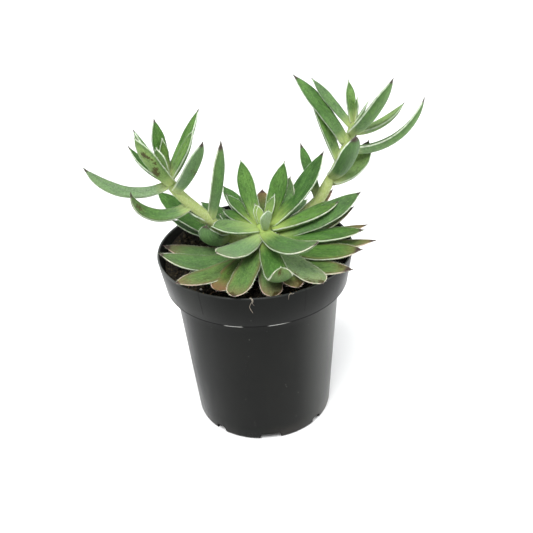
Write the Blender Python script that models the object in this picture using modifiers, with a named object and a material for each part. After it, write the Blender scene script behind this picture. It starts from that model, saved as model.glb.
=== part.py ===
"""A potted echeveria: a nursery pot of soil, a leaf rosette and two leafy flower stalks.

The file works in millimetres and scales by MM, so the scene is in metres with +Z up.
The origin is the middle of the pot's base. -Y is the front and +X the right.
"""

import math
from collections import namedtuple

import bmesh
import bpy
from mathutils import Vector

MM = 0.001

# Points that lie closer than this are one point
WELD = 0.002

# Pot: a thin moulded wall with a deeper band round the rim
POT_HEIGHT = 88.8
RIM_RADIUS = 45.0
BAND_FOOT_RADIUS = 42.5
BAND_HEIGHT = 16.3
BODY_TOP_RADIUS = 38.6
BASE_RADIUS = 33.0
WALL = 1.0
FLOOR = 1.2
LEDGE = 1.0
POT_STEPS = 60

# Drain notches round the foot, wide and narrow in turn
NOTCH_COUNT = 8
FRONT_NOTCH_TURN = 273.6
WIDE_NOTCH = 10.0
NARROW_NOTCH = 5.5
NOTCH_HEIGHT = 3.0
NOTCH_DEPTH = 7.0
NOTCH_CORNER = 1.2

# Soil: a plug that follows the inside of the pot
GAP = 0.3
SOIL_EDGE = 78.2
SOIL_TOP = 79.2
SOIL_STEPS = 40

# Crown: the short woody stem that the rosette's leaves grow from
CROWN_X = 4.0
CROWN_TOP = 99.6
CROWN_FOOT = 70.0
CROWN_RADIUS = 5.5
CROWN_STEPS = 16

# Leaf blade
LEAF_SIDES = 8
LEAF_RINGS = 9
PATH_STEPS = 20
LEAF_CUP = 0.13
UPPER_BULGE = 0.5
WIDEST = 0.62
THICKEST = 0.3
FOOT_THICKNESS = 0.8
THINNING = 2.0
TIP_THICKNESS = 0.8

# A leaf's end is a point up to the first bluntness and a round arc from the second on
POINTED_TO = 2.6
ROUND_FROM = 4.0
POINTED_END = 0.9
ROUND_END = 0.55

# How fleshy a blade is: thickness at no width, thickness for each mm of width, the most
# that it is for its width, and the breadth of its foot as a share of its greatest
Flesh = namedtuple("Flesh", "least rate most foot")
ROSETTE_FLESH = Flesh(0.9, 0.14, 0.35, 0.5)
STALK_FLESH = Flesh(1.0, 0.25, 0.42, 0.72)

# One leaf. It leaves its root at the angle turn round the plant and rise above level,
# swings sideways and lifts by those angles along its length, and curls near its tip.
# blunt rounds the tip. Angles are in degrees, length and width in millimetres.
Leaf = namedtuple("Leaf", "turn swing rise lift curl length width roll blunt height reach")

ROSETTE = {
    "1": Leaf(246, -26, -4, 22, 30, 34, 11.5, -6, 3, 96.5, 3.5),
    "2": Leaf(254, 0, -8, 10, 10, 45, 10.5, 0, 4.2, 93, 4.5),
    "3": Leaf(274, 0, -8, 2, 0, 36, 10, 0, 6, 90, 4.5),
    "4": Leaf(277, 6, 0, -24, 160, 45, 10.5, 0, 6, 94.5, 4),
    "5": Leaf(299, 2, -8, 14, 0, 44, 11, 0, 5, 93, 4.5),
    "6": Leaf(289, 0, -2, 6, 0, 38, 10, 0, 4, 89, 4.5),
    "27": Leaf(-74, 30, 4, 20, 30, 47, 12, 6, 3, 97, 3.5),
    "7": Leaf(240, 0, -6, 8, 0, 38, 12, 0, 5, 89.5, 4.5),
    "8": Leaf(232, -22, -8, 24, 0, 48, 10.5, -8, 3, 89, 4.5),
    "9": Leaf(216, -28, -16, 56, 0, 49, 11, -12, 2.2, 89.5, 4.5),
    "10": Leaf(200, -28, -8, 34, 0, 43, 10.5, -8, 2.2, 88.5, 4.5),
    "11": Leaf(160, -6, 4, 10, 0, 43, 10.5, 0, 2.2, 88.5, 4.5),
    "13": Leaf(210, -8, 20, -2, 0, 24, 11, -10, 2.6, 98, 2.5),
    "38": Leaf(162, -2, 2, 44, 0, 52, 12, -12, 3, 91, 4.5),
    "39": Leaf(154, 0, 12, 14, 0, 45, 9, 0, 2, 89.5, 4.5),
    "18": Leaf(28, 4, 28, 30, 0, 43, 11.5, 0, 1.8, 97.5, 3.5),
    "20": Leaf(2, 10, 10, 16, 0, 35, 11, 0, 2.5, 97, 3.5),
    "21": Leaf(-2, 14, 14, 20, 0, 46, 11, 25, 2, 93, 4),
    "22": Leaf(2, 14, 10, 22, 0, 42, 9.5, 0, 2.2, 88, 4.5),
    "23": Leaf(-16, 14, 0, 12, 0, 43, 12, 0, 2.2, 93.5, 4),
    "24": Leaf(-2, 12, 4, 8, 0, 45, 9, 0, 2, 88.5, 4.5),
    "25": Leaf(-16, 14, -5, 18, 0, 48, 9, 0, 2, 89.5, 4.5),
    "26": Leaf(-36, 20, -2, 20, 0, 45, 12, 8, 2.4, 90, 4.5),
    "28": Leaf(-52, 22, -6, 24, 0, 47, 10.5, 6, 2.4, 88.5, 4.5),
    "29": Leaf(42, 0, 18, 4, 0, 46, 9, 0, 2.2, 84, 5),
    "15": Leaf(110, -14, 36, -12, 0, 39, 8.5, -30, 1.7, 97, 3.5),
    "16": Leaf(56, 4, 50, 4, 0, 31, 8.5, 40, 1.7, 97.5, 3.5),
    "17": Leaf(47, 4, 48, 8, 0, 29, 12, 10, 1.8, 92.5, 4),
    "19": Leaf(56, 0, 4, -10, 0, 38, 8, 0, 2, 94.5, 3.5),
    "30": Leaf(88, 0, 36, -6, 0, 28, 9, 0, 2.2, 89, 4.5),
    "31": Leaf(117, -2, 16, -4, 0, 39, 8, 0, 2.2, 93, 4),
    "32": Leaf(128, 0, 6, 2, 0, 45, 10, 0, 2.2, 88.5, 4.5),
    "33": Leaf(122, 0, 14, -4, 0, 29, 6, 0, 1.8, 97, 3.5),
    "34": Leaf(134, 0, 12, -12, 0, 23, 7.5, 0, 1.8, 96, 4),
    "35": Leaf(136, 0, 12, -10, 0, 25, 7.5, 0, 1.8, 93, 4),
    "40": Leaf(68, 0, 4, 4, 0, 39, 9.5, 0, 2.2, 89, 4.5),
    "41": Leaf(84, 0, 9, 2, 0, 33, 9.5, 0, 2.2, 91, 4.5),
    "42": Leaf(98, 0, 2, 6, 0, 40, 10, 0, 2.2, 89, 4.5),
    "36a": Leaf(116, 0, 76, -20, 0, 10, 4, 0, 1.7, 98.5, 2.5),
    "36b": Leaf(105, 0, 70, -12, 0, 9, 3.5, 0, 1.7, 99, 1.5),
    "36c": Leaf(300, 0, 82, -16, 0, 12, 6, 0, 1.7, 98, 2.5),
    "36d": Leaf(50, 0, 70, -24, 0, 15, 4.5, 0, 1.6, 98, 2.5),
}

# A flower stalk: its centre line from the crown to the tip, its radius at both ends,
# and its leaves with the share of the stalk's length that each one leaves it at.
Stalk = namedtuple("Stalk", "line foot_radius tip_radius leaves")
StalkLeaf = namedtuple("StalkLeaf", "turn swing rise lift curl length width roll blunt along")

STALKS = {
    "left_stalk": Stalk(
        line=[
            (2, -1.5, 90),
            (-4, 0, 91.5),
            (-7.5, 0.5, 92),
            (-11, 0, 94),
            (-14.5, -1.5, 98.5),
            (-18, -4, 104),
            (-24.5, -7, 113),
            (-30, -8.5, 120),
            (-33.5, -8.5, 125.5),
            (-35, -8.5, 130),
        ],
        foot_radius=2.7,
        tip_radius=2.2,
        leaves={
            "L1": StalkLeaf(194, -28, -26, 82, 0, 41, 5.5, -38, 2.2, 0.94),
            "L2": StalkLeaf(206, -14, -30, 102, 30, 34, 6.5, -30, 2.2, 0.71),
            "L3": StalkLeaf(160, 0, 20, 40, 0, 24, 4.5, 0, 2, 0.95),
            "L4": StalkLeaf(225, 0, 53, 12, 0, 31, 7.2, 25, 1.8, 0.93),
            "L4b": StalkLeaf(203, 0, 57, 14, 0, 29, 8, -10, 1.8, 0.96),
            "L5": StalkLeaf(133, 0, 72, 14, 0, 26, 6.8, 0, 1.7, 0.985),
            "L6": StalkLeaf(110, 0, 80, 14, 0, 17, 4, 0, 1.6, 1),
            "L7": StalkLeaf(240, 0, 66, 10, 0, 16, 5, 0, 2.4, 1),
            "L8": StalkLeaf(32, 0, 54, 4, 0, 32, 6.5, 0, 1.6, 0.985),
            "L9": StalkLeaf(350, 0, 56, 8, 0, 26, 5.8, 35, 2, 0.97),
            "L10": StalkLeaf(312, 0, 44, 16, 0, 36, 7.5, 0, 2, 0.87),
            "L11": StalkLeaf(10, 0, 72, 12, 0, 38, 6.5, -55, 2, 0.49),
            "L12": StalkLeaf(226, -10, -10, 90, 60, 19, 9.5, 35, 2.6, 0.27),
            "L13": StalkLeaf(200, 0, 30, 16, 0, 14, 5, 0, 2.2, 0.47),
        },
    ),
    "right_stalk": Stalk(
        line=[
            (6, 1.5, 89),
            (11, 4.5, 91),
            (16, 7.5, 92.5),
            (20, 9.5, 94),
            (25, 11.5, 98.5),
            (30.5, 13.5, 103),
            (34.5, 15, 109),
            (39.5, 16, 117.5),
            (44, 17.5, 127),
            (48, 19, 138.5),
        ],
        foot_radius=3.4,
        tip_radius=2.1,
        leaves={
            "R1": StalkLeaf(151, 0, 56, -14, 0, 40, 7, -28, 1.8, 0.85),
            "R2": StalkLeaf(150, 0, 46, 0, 0, 29, 4.4, -45, 1.9, 0.965),
            "R3": StalkLeaf(130, 0, 60, 0, 0, 37, 6.5, 0, 1.9, 0.73),
            "R4": StalkLeaf(120, 0, 78, 0, 0, 20, 5, 0, 1.8, 0.99),
            "R5": StalkLeaf(30, 0, 78, 6, 0, 12, 2.8, 0, 1.9, 1),
            "R6": StalkLeaf(350, 0, 54, 10, 0, 13, 2.6, 0, 1.9, 0.99),
            "R7": StalkLeaf(316, 0, 43, 20, 0, 37, 9.5, 0, 1.8, 0.93),
            "R8": StalkLeaf(4, 0, -2, 56, 0, 28, 6, 0, 1.9, 0.94),
            "R9": StalkLeaf(6, -14, -14, 92, 0, 46, 8, -25, 2, 0.83),
            "R10": StalkLeaf(304, 0, 42, 30, 0, 29, 11, 0, 2.2, 0.64),
            "R11": StalkLeaf(22, 0, -4, 84, 0, 28, 10, 20, 2.2, 0.6),
            "R12": StalkLeaf(110, 0, 42, 10, 0, 29, 5.5, 0, 2, 0.45),
        },
    ),
}

# The hole that each stalk stands in at the crown
SOCKET_GAP = 0.32
SOCKET_SETBACK = 0.4


def clear_scene():
    for obj in list(bpy.data.objects):
        bpy.data.objects.remove(obj, do_unlink=True)


def new_collection(name):
    collection = bpy.data.collections.new(name)
    bpy.context.scene.collection.children.link(collection)
    return collection


def new_material(name, color, roughness):
    material = bpy.data.materials.new(name)
    material.use_nodes = True
    shader = material.node_tree.nodes["Principled BSDF"]
    shader.inputs["Base Color"].default_value = (*color, 1.0)
    shader.inputs["Roughness"].default_value = roughness
    shader.inputs["Metallic"].default_value = 0.0
    material.diffuse_color = (*color, 1.0)
    return material


def new_object(name, data, collection):
    obj = bpy.data.objects.new(name, data)
    collection.objects.link(obj)
    return obj


def baked(obj, name, collection):
    """The object's evaluated mesh as a plain object, with its caps welded."""
    graph = bpy.context.evaluated_depsgraph_get()
    mesh = bpy.data.meshes.new_from_object(obj.evaluated_get(graph))
    bm = bmesh.new()
    bm.from_mesh(mesh)
    bmesh.ops.remove_doubles(bm, verts=bm.verts, dist=WELD * MM)
    bm.to_mesh(mesh)
    bm.free()
    made = new_object(name, mesh, collection)
    made.matrix_world = obj.matrix_world
    bpy.data.objects.remove(obj, do_unlink=True)
    return made


def smooth(obj, angle):
    obj.data.shade_smooth()
    obj.data.set_sharp_from_angle(angle=math.radians(angle))


def turned(name, profile, steps, collection, x=0.0):
    """A solid of revolution about the vertical line at x, from a radius and height profile."""
    mesh = bpy.data.meshes.new(name)
    points = [(radius * MM, 0, height * MM) for radius, height in profile]
    edges = [(i, i + 1) for i in range(len(points) - 1)]
    mesh.from_pydata(points, edges, [])
    obj = new_object(name, mesh, collection)
    obj.location.x = x * MM
    screw = obj.modifiers.new("turn", "SCREW")
    screw.steps = steps
    screw.render_steps = steps
    screw.use_merge_vertices = True
    screw.merge_threshold = 0.00001
    bpy.context.view_layer.update()
    return obj


def inner_radius(height):
    """The radius of the pot's inner wall at a height."""
    band_foot = POT_HEIGHT - BAND_HEIGHT + LEDGE
    if height >= band_foot:
        low, high = (band_foot, BAND_FOOT_RADIUS - WALL), (POT_HEIGHT, RIM_RADIUS - WALL)
    else:
        low, high = (0.0, BASE_RADIUS - WALL), (band_foot, BODY_TOP_RADIUS - WALL)
    share = (height - low[0]) / (high[0] - low[0])
    return low[1] + (high[1] - low[1]) * share


def build_pot(parts, cutters):
    band_foot = POT_HEIGHT - BAND_HEIGHT
    ledge = band_foot + LEDGE
    profile = [
        (0, FLOOR),
        (inner_radius(FLOOR), FLOOR),
        (BODY_TOP_RADIUS - WALL, ledge),
        (inner_radius(ledge), ledge),
        (RIM_RADIUS - WALL, POT_HEIGHT - 0.2),
        (RIM_RADIUS - WALL + 0.2, POT_HEIGHT),
        (RIM_RADIUS - 0.3, POT_HEIGHT),
        (RIM_RADIUS, POT_HEIGHT - 0.3),
        (BAND_FOOT_RADIUS + 0.1, band_foot + 0.3),
        (BAND_FOOT_RADIUS - 0.3, band_foot),
        (BODY_TOP_RADIUS, band_foot),
        (BASE_RADIUS + 0.1, 0.4),
        (BASE_RADIUS - 0.3, 0),
        (0, 0),
    ]
    pot = turned("pot", profile, POT_STEPS, parts)
    for i in range(NOTCH_COUNT):
        turn = math.radians(FRONT_NOTCH_TURN + i * 360 / NOTCH_COUNT)
        width = NARROW_NOTCH if i % 2 else WIDE_NOTCH
        notch = notch_cutter(f"notch_{i}", width, cutters)
        notch.location = (
            BASE_RADIUS * math.cos(turn) * MM,
            BASE_RADIUS * math.sin(turn) * MM,
            0,
        )
        notch.rotation_euler.z = turn
    cut = pot.modifiers.new("notches", "BOOLEAN")
    cut.operation = "DIFFERENCE"
    cut.operand_type = "COLLECTION"
    cut.collection = cutters
    return pot


def notch_cutter(name, width, cutters):
    """A block with rounded upright ends that takes out the corner of wall and floor."""
    bpy.ops.mesh.primitive_cube_add(size=1)
    notch = bpy.context.object
    notch.name = name
    for collection in list(notch.users_collection):
        collection.objects.unlink(notch)
    cutters.objects.link(notch)
    notch.scale = (NOTCH_DEPTH * MM, width * MM, 2 * NOTCH_HEIGHT * MM)
    bpy.context.view_layer.objects.active = notch
    notch.select_set(True)
    bpy.ops.object.transform_apply(location=False, rotation=False, scale=True)
    bevel = notch.modifiers.new("rounding", "BEVEL")
    bevel.width = NOTCH_CORNER * MM
    bevel.segments = 2
    bevel.limit_method = "ANGLE"
    notch.hide_render = True
    notch.display_type = "WIRE"
    return notch


def build_soil(parts, cutters):
    ledge = POT_HEIGHT - BAND_HEIGHT + LEDGE
    foot = FLOOR + GAP
    profile = [
        (0, SOIL_TOP),
        (14, SOIL_TOP + 0.1),
        (26, SOIL_TOP - 0.3),
        (36, SOIL_EDGE + 0.2),
        (inner_radius(SOIL_EDGE) - GAP, SOIL_EDGE),
        (inner_radius(ledge) - GAP, ledge + GAP),
        (BODY_TOP_RADIUS - WALL - GAP, ledge + GAP),
        (inner_radius(foot) - GAP, foot),
        (0, foot),
    ]
    soil = turned("soil", profile, SOIL_STEPS, parts)
    bpy.ops.mesh.primitive_cylinder_add(
        vertices=CROWN_STEPS,
        radius=(CROWN_RADIUS + GAP) * MM,
        depth=40 * MM,
        location=(CROWN_X * MM, 0, (CROWN_FOOT - GAP + 20) * MM),
    )
    hole = bpy.context.object
    hole.name = "crown_hole"
    for collection in list(hole.users_collection):
        collection.objects.unlink(hole)
    cutters.objects.link(hole)
    hole.hide_render = True
    hole.display_type = "WIRE"
    cut = soil.modifiers.new("crown hole", "BOOLEAN")
    cut.operation = "DIFFERENCE"
    cut.object = hole
    return soil


def midrib(leaf, root):
    """Points and frames along a leaf's middle line, from its root to its tip."""
    frames = []
    point = Vector(root)
    last = None
    for i in range(PATH_STEPS + 1):
        s = i / PATH_STEPS
        turn = math.radians(leaf.turn + leaf.swing * s)
        rise = math.radians(leaf.rise + leaf.lift * s + leaf.curl * s**5)
        along = Vector(
            (math.cos(turn) * math.cos(rise), math.sin(turn) * math.cos(rise), math.sin(rise))
        )
        if last is not None:
            point = point + (last + along) / 2 * leaf.length / PATH_STEPS
        side = Vector((-math.sin(turn), math.cos(turn), 0))
        face = along.cross(side)
        roll = math.radians(leaf.roll)
        frames.append(
            (
                point,
                side * math.cos(roll) + face * math.sin(roll),
                face * math.cos(roll) - side * math.sin(roll),
            )
        )
        last = along
    return frames


def outline(s, base, widest, power, rounding):
    """A leaf's breadth at the share s of its length, as a share of its greatest."""
    if s < widest:
        return base + (1 - base) * math.sin(math.pi / 2 * s / widest) ** 1.3
    return max(0.0, 1 - ((s - widest) / (1 - widest)) ** power) ** rounding


def tip_rounding(blunt):
    """The power that rounds a leaf's end, by how blunt the leaf is."""
    share = min(1.0, max(0.0, (blunt - POINTED_TO) / (ROUND_FROM - POINTED_TO)))
    return POINTED_END + (ROUND_END - POINTED_END) * share


def leaf_blade(leaf, flesh, root, name, collection):
    """A thick pointed blade: a sphere whose rings are set across the midrib."""
    frames = midrib(leaf, root)
    thick = min(flesh.least + flesh.rate * leaf.width, flesh.most * leaf.width)
    rounding = tip_rounding(leaf.blunt)
    bm = bmesh.new()
    bmesh.ops.create_uvsphere(bm, u_segments=LEAF_SIDES, v_segments=LEAF_RINGS, radius=1)
    for vert in bm.verts:
        even = 1 - math.acos(max(-1.0, min(1.0, vert.co.z))) / math.pi
        s = (even + math.sin(math.pi / 2 * even)) / 2
        place = s * PATH_STEPS
        i = min(int(place), PATH_STEPS - 1)
        t = place - i
        point, side, face = (a.lerp(b, t) for a, b in zip(frames[i], frames[i + 1]))
        ring = math.hypot(vert.co.x, vert.co.y)
        across, up = (vert.co.x / ring, vert.co.y / ring) if ring > 1e-4 else (0.0, 0.0)
        half = outline(s, flesh.foot, WIDEST, leaf.blunt, rounding) * leaf.width / 2
        depth = thick * outline(s, FOOT_THICKNESS, THICKEST, THINNING, TIP_THICKNESS)
        lift = LEAF_CUP * half * across**2 + (UPPER_BULGE if up > 0 else 1.0) * up * depth
        vert.co = (point + side * across * half + face * lift) * MM
    mesh = bpy.data.meshes.new(name)
    bm.to_mesh(mesh)
    bm.free()
    return new_object(name, mesh, collection)


def join_all(body, pieces, name):
    """One Boolean union of the body with a collection's pieces, which are then removed."""
    union = body.modifiers.new("union", "BOOLEAN")
    union.operation = "UNION"
    union.operand_type = "COLLECTION"
    union.collection = pieces
    union.solver = "MANIFOLD"
    bpy.context.view_layer.update()
    joined = baked(body, name, body.users_collection[0])
    joined.name = name
    for obj in list(pieces.objects):
        bpy.data.objects.remove(obj, do_unlink=True)
    bpy.data.collections.remove(pieces)
    return joined


def stalk_tube(name, stalk, collection, grow=0.0, setback=0.0):
    """The stalk as a curve through its points, made thicker and longer for its socket."""
    line = [Vector(point) for point in stalk.line]
    line[0] = line[0] + (line[0] - line[1]).normalized() * setback
    curve = bpy.data.curves.new(name, "CURVE")
    curve.dimensions = "3D"
    curve.resolution_u = 3
    curve.bevel_depth = MM
    curve.bevel_resolution = 2
    curve.use_fill_caps = True
    spline = curve.splines.new("BEZIER")
    spline.bezier_points.add(len(line) - 1)
    last = len(line) - 1
    for i, (spot, point) in enumerate(zip(spline.bezier_points, line)):
        spot.co = point * MM
        spot.handle_left_type = "AUTO"
        spot.handle_right_type = "AUTO"
        radius = stalk.foot_radius + (stalk.tip_radius - stalk.foot_radius) * i / last
        spot.radius = radius * (0.8 if i == last else 1.0) + grow
    obj = new_object(name, curve, collection)
    bpy.context.view_layer.update()
    return baked(obj, name, collection)


def point_along(line, share):
    """The point at a share of the line's whole length."""
    points = [Vector(point) for point in line]
    spans = [(b - a).length for a, b in zip(points, points[1:])]
    left = share * sum(spans)
    for a, b, span in zip(points, points[1:], spans):
        if left <= span:
            return a.lerp(b, left / span)
        left -= span
    return points[-1]


def build_stalk(name, stalk, parts):
    body = stalk_tube(name + "_stem", stalk, parts)
    leaves = new_collection(name + "_leaves")
    for key, leaf in stalk.leaves.items():
        root = point_along(stalk.line, leaf.along)
        leaf_blade(leaf, STALK_FLESH, root, f"leaf_{key}", leaves)
    return join_all(body, leaves, name)


def build_rosette(parts, cutters):
    radius = CROWN_RADIUS
    profile = [
        (0, CROWN_TOP),
        (0.4 * radius, CROWN_TOP - 0.6),
        (0.7 * radius, CROWN_TOP - 2.3),
        (0.9 * radius, CROWN_TOP - 5.3),
        (radius, CROWN_TOP - 10),
        (radius, CROWN_FOOT),
        (0, CROWN_FOOT),
    ]
    crown = turned("crown", profile, CROWN_STEPS, parts, CROWN_X)
    leaves = new_collection("rosette_leaves")
    for key, leaf in ROSETTE.items():
        turn = math.radians(leaf.turn)
        root = (
            CROWN_X + leaf.reach * math.cos(turn),
            leaf.reach * math.sin(turn),
            leaf.height,
        )
        leaf_blade(leaf, ROSETTE_FLESH, root, f"leaf_{key}", leaves)
    rosette = join_all(crown, leaves, "rosette")
    for name, stalk in STALKS.items():
        hole = stalk_tube(name + "_socket", stalk, cutters, SOCKET_GAP, SOCKET_SETBACK)
        hole.hide_render = True
        hole.display_type = "WIRE"
        cut = rosette.modifiers.new(name + " socket", "BOOLEAN")
        cut.operation = "DIFFERENCE"
        cut.object = hole
        cut.solver = "MANIFOLD"
    return rosette


def main():
    clear_scene()
    parts = new_collection("potted_echeveria")
    notches = new_collection("notch_cutters")
    cutters = new_collection("hole_cutters")
    pot = build_pot(parts, notches)
    soil = build_soil(parts, cutters)
    rosette = build_rosette(parts, cutters)
    left = build_stalk("left_stalk", STALKS["left_stalk"], parts)
    right = build_stalk("right_stalk", STALKS["right_stalk"], parts)
    looks = (
        (pot, (0.032, 0.034, 0.033), 0.42),
        (soil, (0.022, 0.015, 0.011), 0.95),
        (rosette, (0.14, 0.25, 0.07), 0.55),
        (left, (0.22, 0.34, 0.11), 0.55),
        (right, (0.21, 0.33, 0.1), 0.55),
    )
    for obj, color, roughness in looks:
        obj.data.materials.clear()
        obj.data.materials.append(new_material(obj.name, color, roughness))
        smooth(obj, 40)


main()
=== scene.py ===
"""A potted echeveria: a nursery pot of soil, a leaf rosette and two leafy flower stalks.

Places are written in millimetres and scaled by MM. The origin is the middle of the
pot's base, -Y is the front and +X the right.
"""

import math
from collections import namedtuple

import bpy
import numpy as np
from mathutils import Matrix, Vector, noise


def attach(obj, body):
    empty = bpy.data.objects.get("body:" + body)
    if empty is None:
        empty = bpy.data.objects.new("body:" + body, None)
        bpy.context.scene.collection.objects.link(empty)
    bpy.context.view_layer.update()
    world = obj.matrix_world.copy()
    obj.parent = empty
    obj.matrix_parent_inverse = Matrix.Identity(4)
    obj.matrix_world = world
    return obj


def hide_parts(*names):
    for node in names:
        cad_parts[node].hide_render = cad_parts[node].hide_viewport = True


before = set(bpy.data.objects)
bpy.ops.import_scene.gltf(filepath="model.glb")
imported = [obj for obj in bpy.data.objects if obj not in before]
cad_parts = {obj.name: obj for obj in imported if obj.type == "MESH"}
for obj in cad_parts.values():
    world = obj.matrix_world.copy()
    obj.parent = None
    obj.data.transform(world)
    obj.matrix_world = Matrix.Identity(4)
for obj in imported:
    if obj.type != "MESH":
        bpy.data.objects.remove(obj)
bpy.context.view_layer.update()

MM = 0.001

# Pot: the ledge inside it lies between two radii
POT_HEIGHT = 88.8
RIM_RADIUS = 45.0
BAND_FOOT = 72.5
LEDGE = 73.5
LEDGE_OUT = 41.5
LEDGE_IN = 37.6
BASE_RADIUS = 33.0
WALL = 1.0
POT_STEPS = 192
POT_SMOOTH_TO = math.radians(40)
# Turns round the pot, in radians, of its two mould seams and of the glints under its band
SEAM_TURNS = (-2.148, -1.088)
GLINT_TURNS = ((-1.94, -1.90, -1.76, -1.72), (-1.49, -1.45, -1.36, -1.22))

# Drain notches round the foot, wide and narrow in turn
NOTCH_COUNT = 8
FRONT_NOTCH_TURN = 273.6
WIDE_NOTCH = 10.0
NARROW_NOTCH = 5.5
NOTCH_HEIGHT = 3.0
NOTCH_DEPTH = 7.0
NOTCH_CORNER = 1.2

# Soil: a dished bed that steps in under the pot's ledge, with a heap against the wall
# behind the plant, on its left
GAP = 0.3
SOIL_FOOT = 1.5
SOIL_STEP = 73.8
SOIL_EDGE = 78.2
SOIL_MIDDLE = 79.2
SOIL_DISH = 0.9
SOIL_REACH = 42.0
LOOSE_REACH = 41.6
EDGE_BLEND = 2.5
BED_STEPS = 120
TOP_RINGS = np.linspace(40.4, 0.6, 44)
HEAP_HEIGHT = 7.5
HEAP_TURN = math.radians(144)
HEAP_SPREAD = 0.75
HEAP_START = 27.0
HEAP_RUN = 13.0

# Loose bits on the soil: how many there are and how far from the middle they lie
CRUMBS = 1250
CRUMB_REACH = 41.2
HEAP_CRUMBS = 280
HEAP_CRUMBS_BETWEEN = (31, 41.4)
HEAP_CRUMBS_SPREAD = 0.45
FIBRES = 150
FIBRE_REACH = 39.5
FIBRE_LENGTHS = (2, 5.5)
FIBRE_RADIUS = 0.11
FIBRE_STEPS = 5
FIBRE_SAG = 0.25
GRAINS = 22
GRAIN_REACH = 38.0
GRAIN_SIZES = (0.45, 0.95)
LEFT_GRAIN = (-25, -20)
# Single crumbs on the rim and at the wall in front of the plant: place and size
PLACED_CRUMBS = [
    (10.0, -43.3, 88.9, 0.3),
    (14.2, -42.1, 88.9, 0.35),
    (16.6, -41.3, 88.9, 0.25),
    (-22.3, -38.5, 88.9, 0.3),
    (-24.0, -33.5, 79.6, 0.9),
    (-21.6, -35.0, 79.5, 1.1),
    (-18.8, -35.9, 79.4, 0.8),
    (-16.5, -37.0, 79.4, 0.9),
]

# Fine dry roots that hang over the front of the rim: radius and route
ROOTS = {
    "root_strand": (
        0.09,
        [(-4.9, -30, 79.4), (-4.4, -38, 81.2), (-3.6, -42.6, 86.2), (-2.7, -44.6, 89.0)]
        + [(-2.0, -45.3, 88.2), (-2.7, -44.8, 86.2), (-3.2, -44.5, 84.6)]
        + [(-2.6, -44.25, 82.6), (-2.0, -44.0, 81.2)],
    ),
    "root_strand_short": (
        0.07,
        [(-2.4, -34, 80.2), (-2.9, -41.6, 85.0), (-2.2, -44.7, 89.05)]
        + [(-1.6, -45.25, 88.0), (-1.9, -44.9, 86.4), (-1.3, -44.7, 85.3)],
    ),
    "root_strand_right": (
        0.07,
        [(11.5, -36, 79.6), (12.3, -40.5, 82.0), (13.2, -42.6, 86.4)]
        + [(14.0, -42.9, 89.0), (14.6, -43.0, 88.9), (15.6, -42.7, 88.95)],
    ),
}

# Crown: the short stem that the rosette's leaves grow from, with its radius at each
# height as a share of its greatest
CROWN_X = 4.0
CROWN_RADIUS = 5.5
CROWN_STEPS = 32
CROWN_PROFILE = (
    [(0.92, 74.0), (0.95, 80.0), (1.0, 87.0), (0.97, 91.0)]
    + [(0.9, 94.3), (0.7, 97.3), (0.4, 99.0), (0.12, 99.6)]
)

# Flower stem: its lumps, and where its colour turns from pale stem to leaf green
STEM_LUMPS = 0.16
GREENER_FROM = 0.65
GREENER_OVER = 0.25
GREENER_BY = 0.3

# Leaf blade: its wobble is in degrees, and its cup, bulge, waves and groove are shares of
# its breadth or thickness
LEAF_SIDES = 24
LEAF_RINGS = 40
PATH_STEPS = 60
LEAF_CUP = 0.13
UPPER_BULGE = 0.5
WIDEST = 0.62
WOBBLE = 3.0
WAVES = 0.018
GROOVE_DEPTH = 0.16
GROOVE_WIDTH = 0.28
SPIKE_LENGTH = 1.5
SPIKE_RADIUS = 0.42

# A leaf's end is a point up to the first bluntness and a round arc from the second on
POINTED_TO = 2.6
ROUND_FROM = 4.0
POINTED_END = 0.9
ROUND_END = 0.55

# How fleshy a blade is: thickness at no width, thickness for each mm of width, the most
# that it is for its width, and the breadth of its foot as a share of its greatest
Flesh = namedtuple("Flesh", "least rate most foot")
ROSETTE_FLESH = Flesh(0.9, 0.14, 0.35, 0.5)
STALK_FLESH = Flesh(1.0, 0.25, 0.42, 0.72)

# One leaf. It leaves its root at the angle turn round the plant and rise above level,
# swings sideways and lifts by those angles along its length, and curls near its tip.
# blunt rounds the tip. Angles are in degrees, length and width in millimetres.
Leaf = namedtuple("Leaf", "turn swing rise lift curl length width roll blunt height reach")

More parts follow.
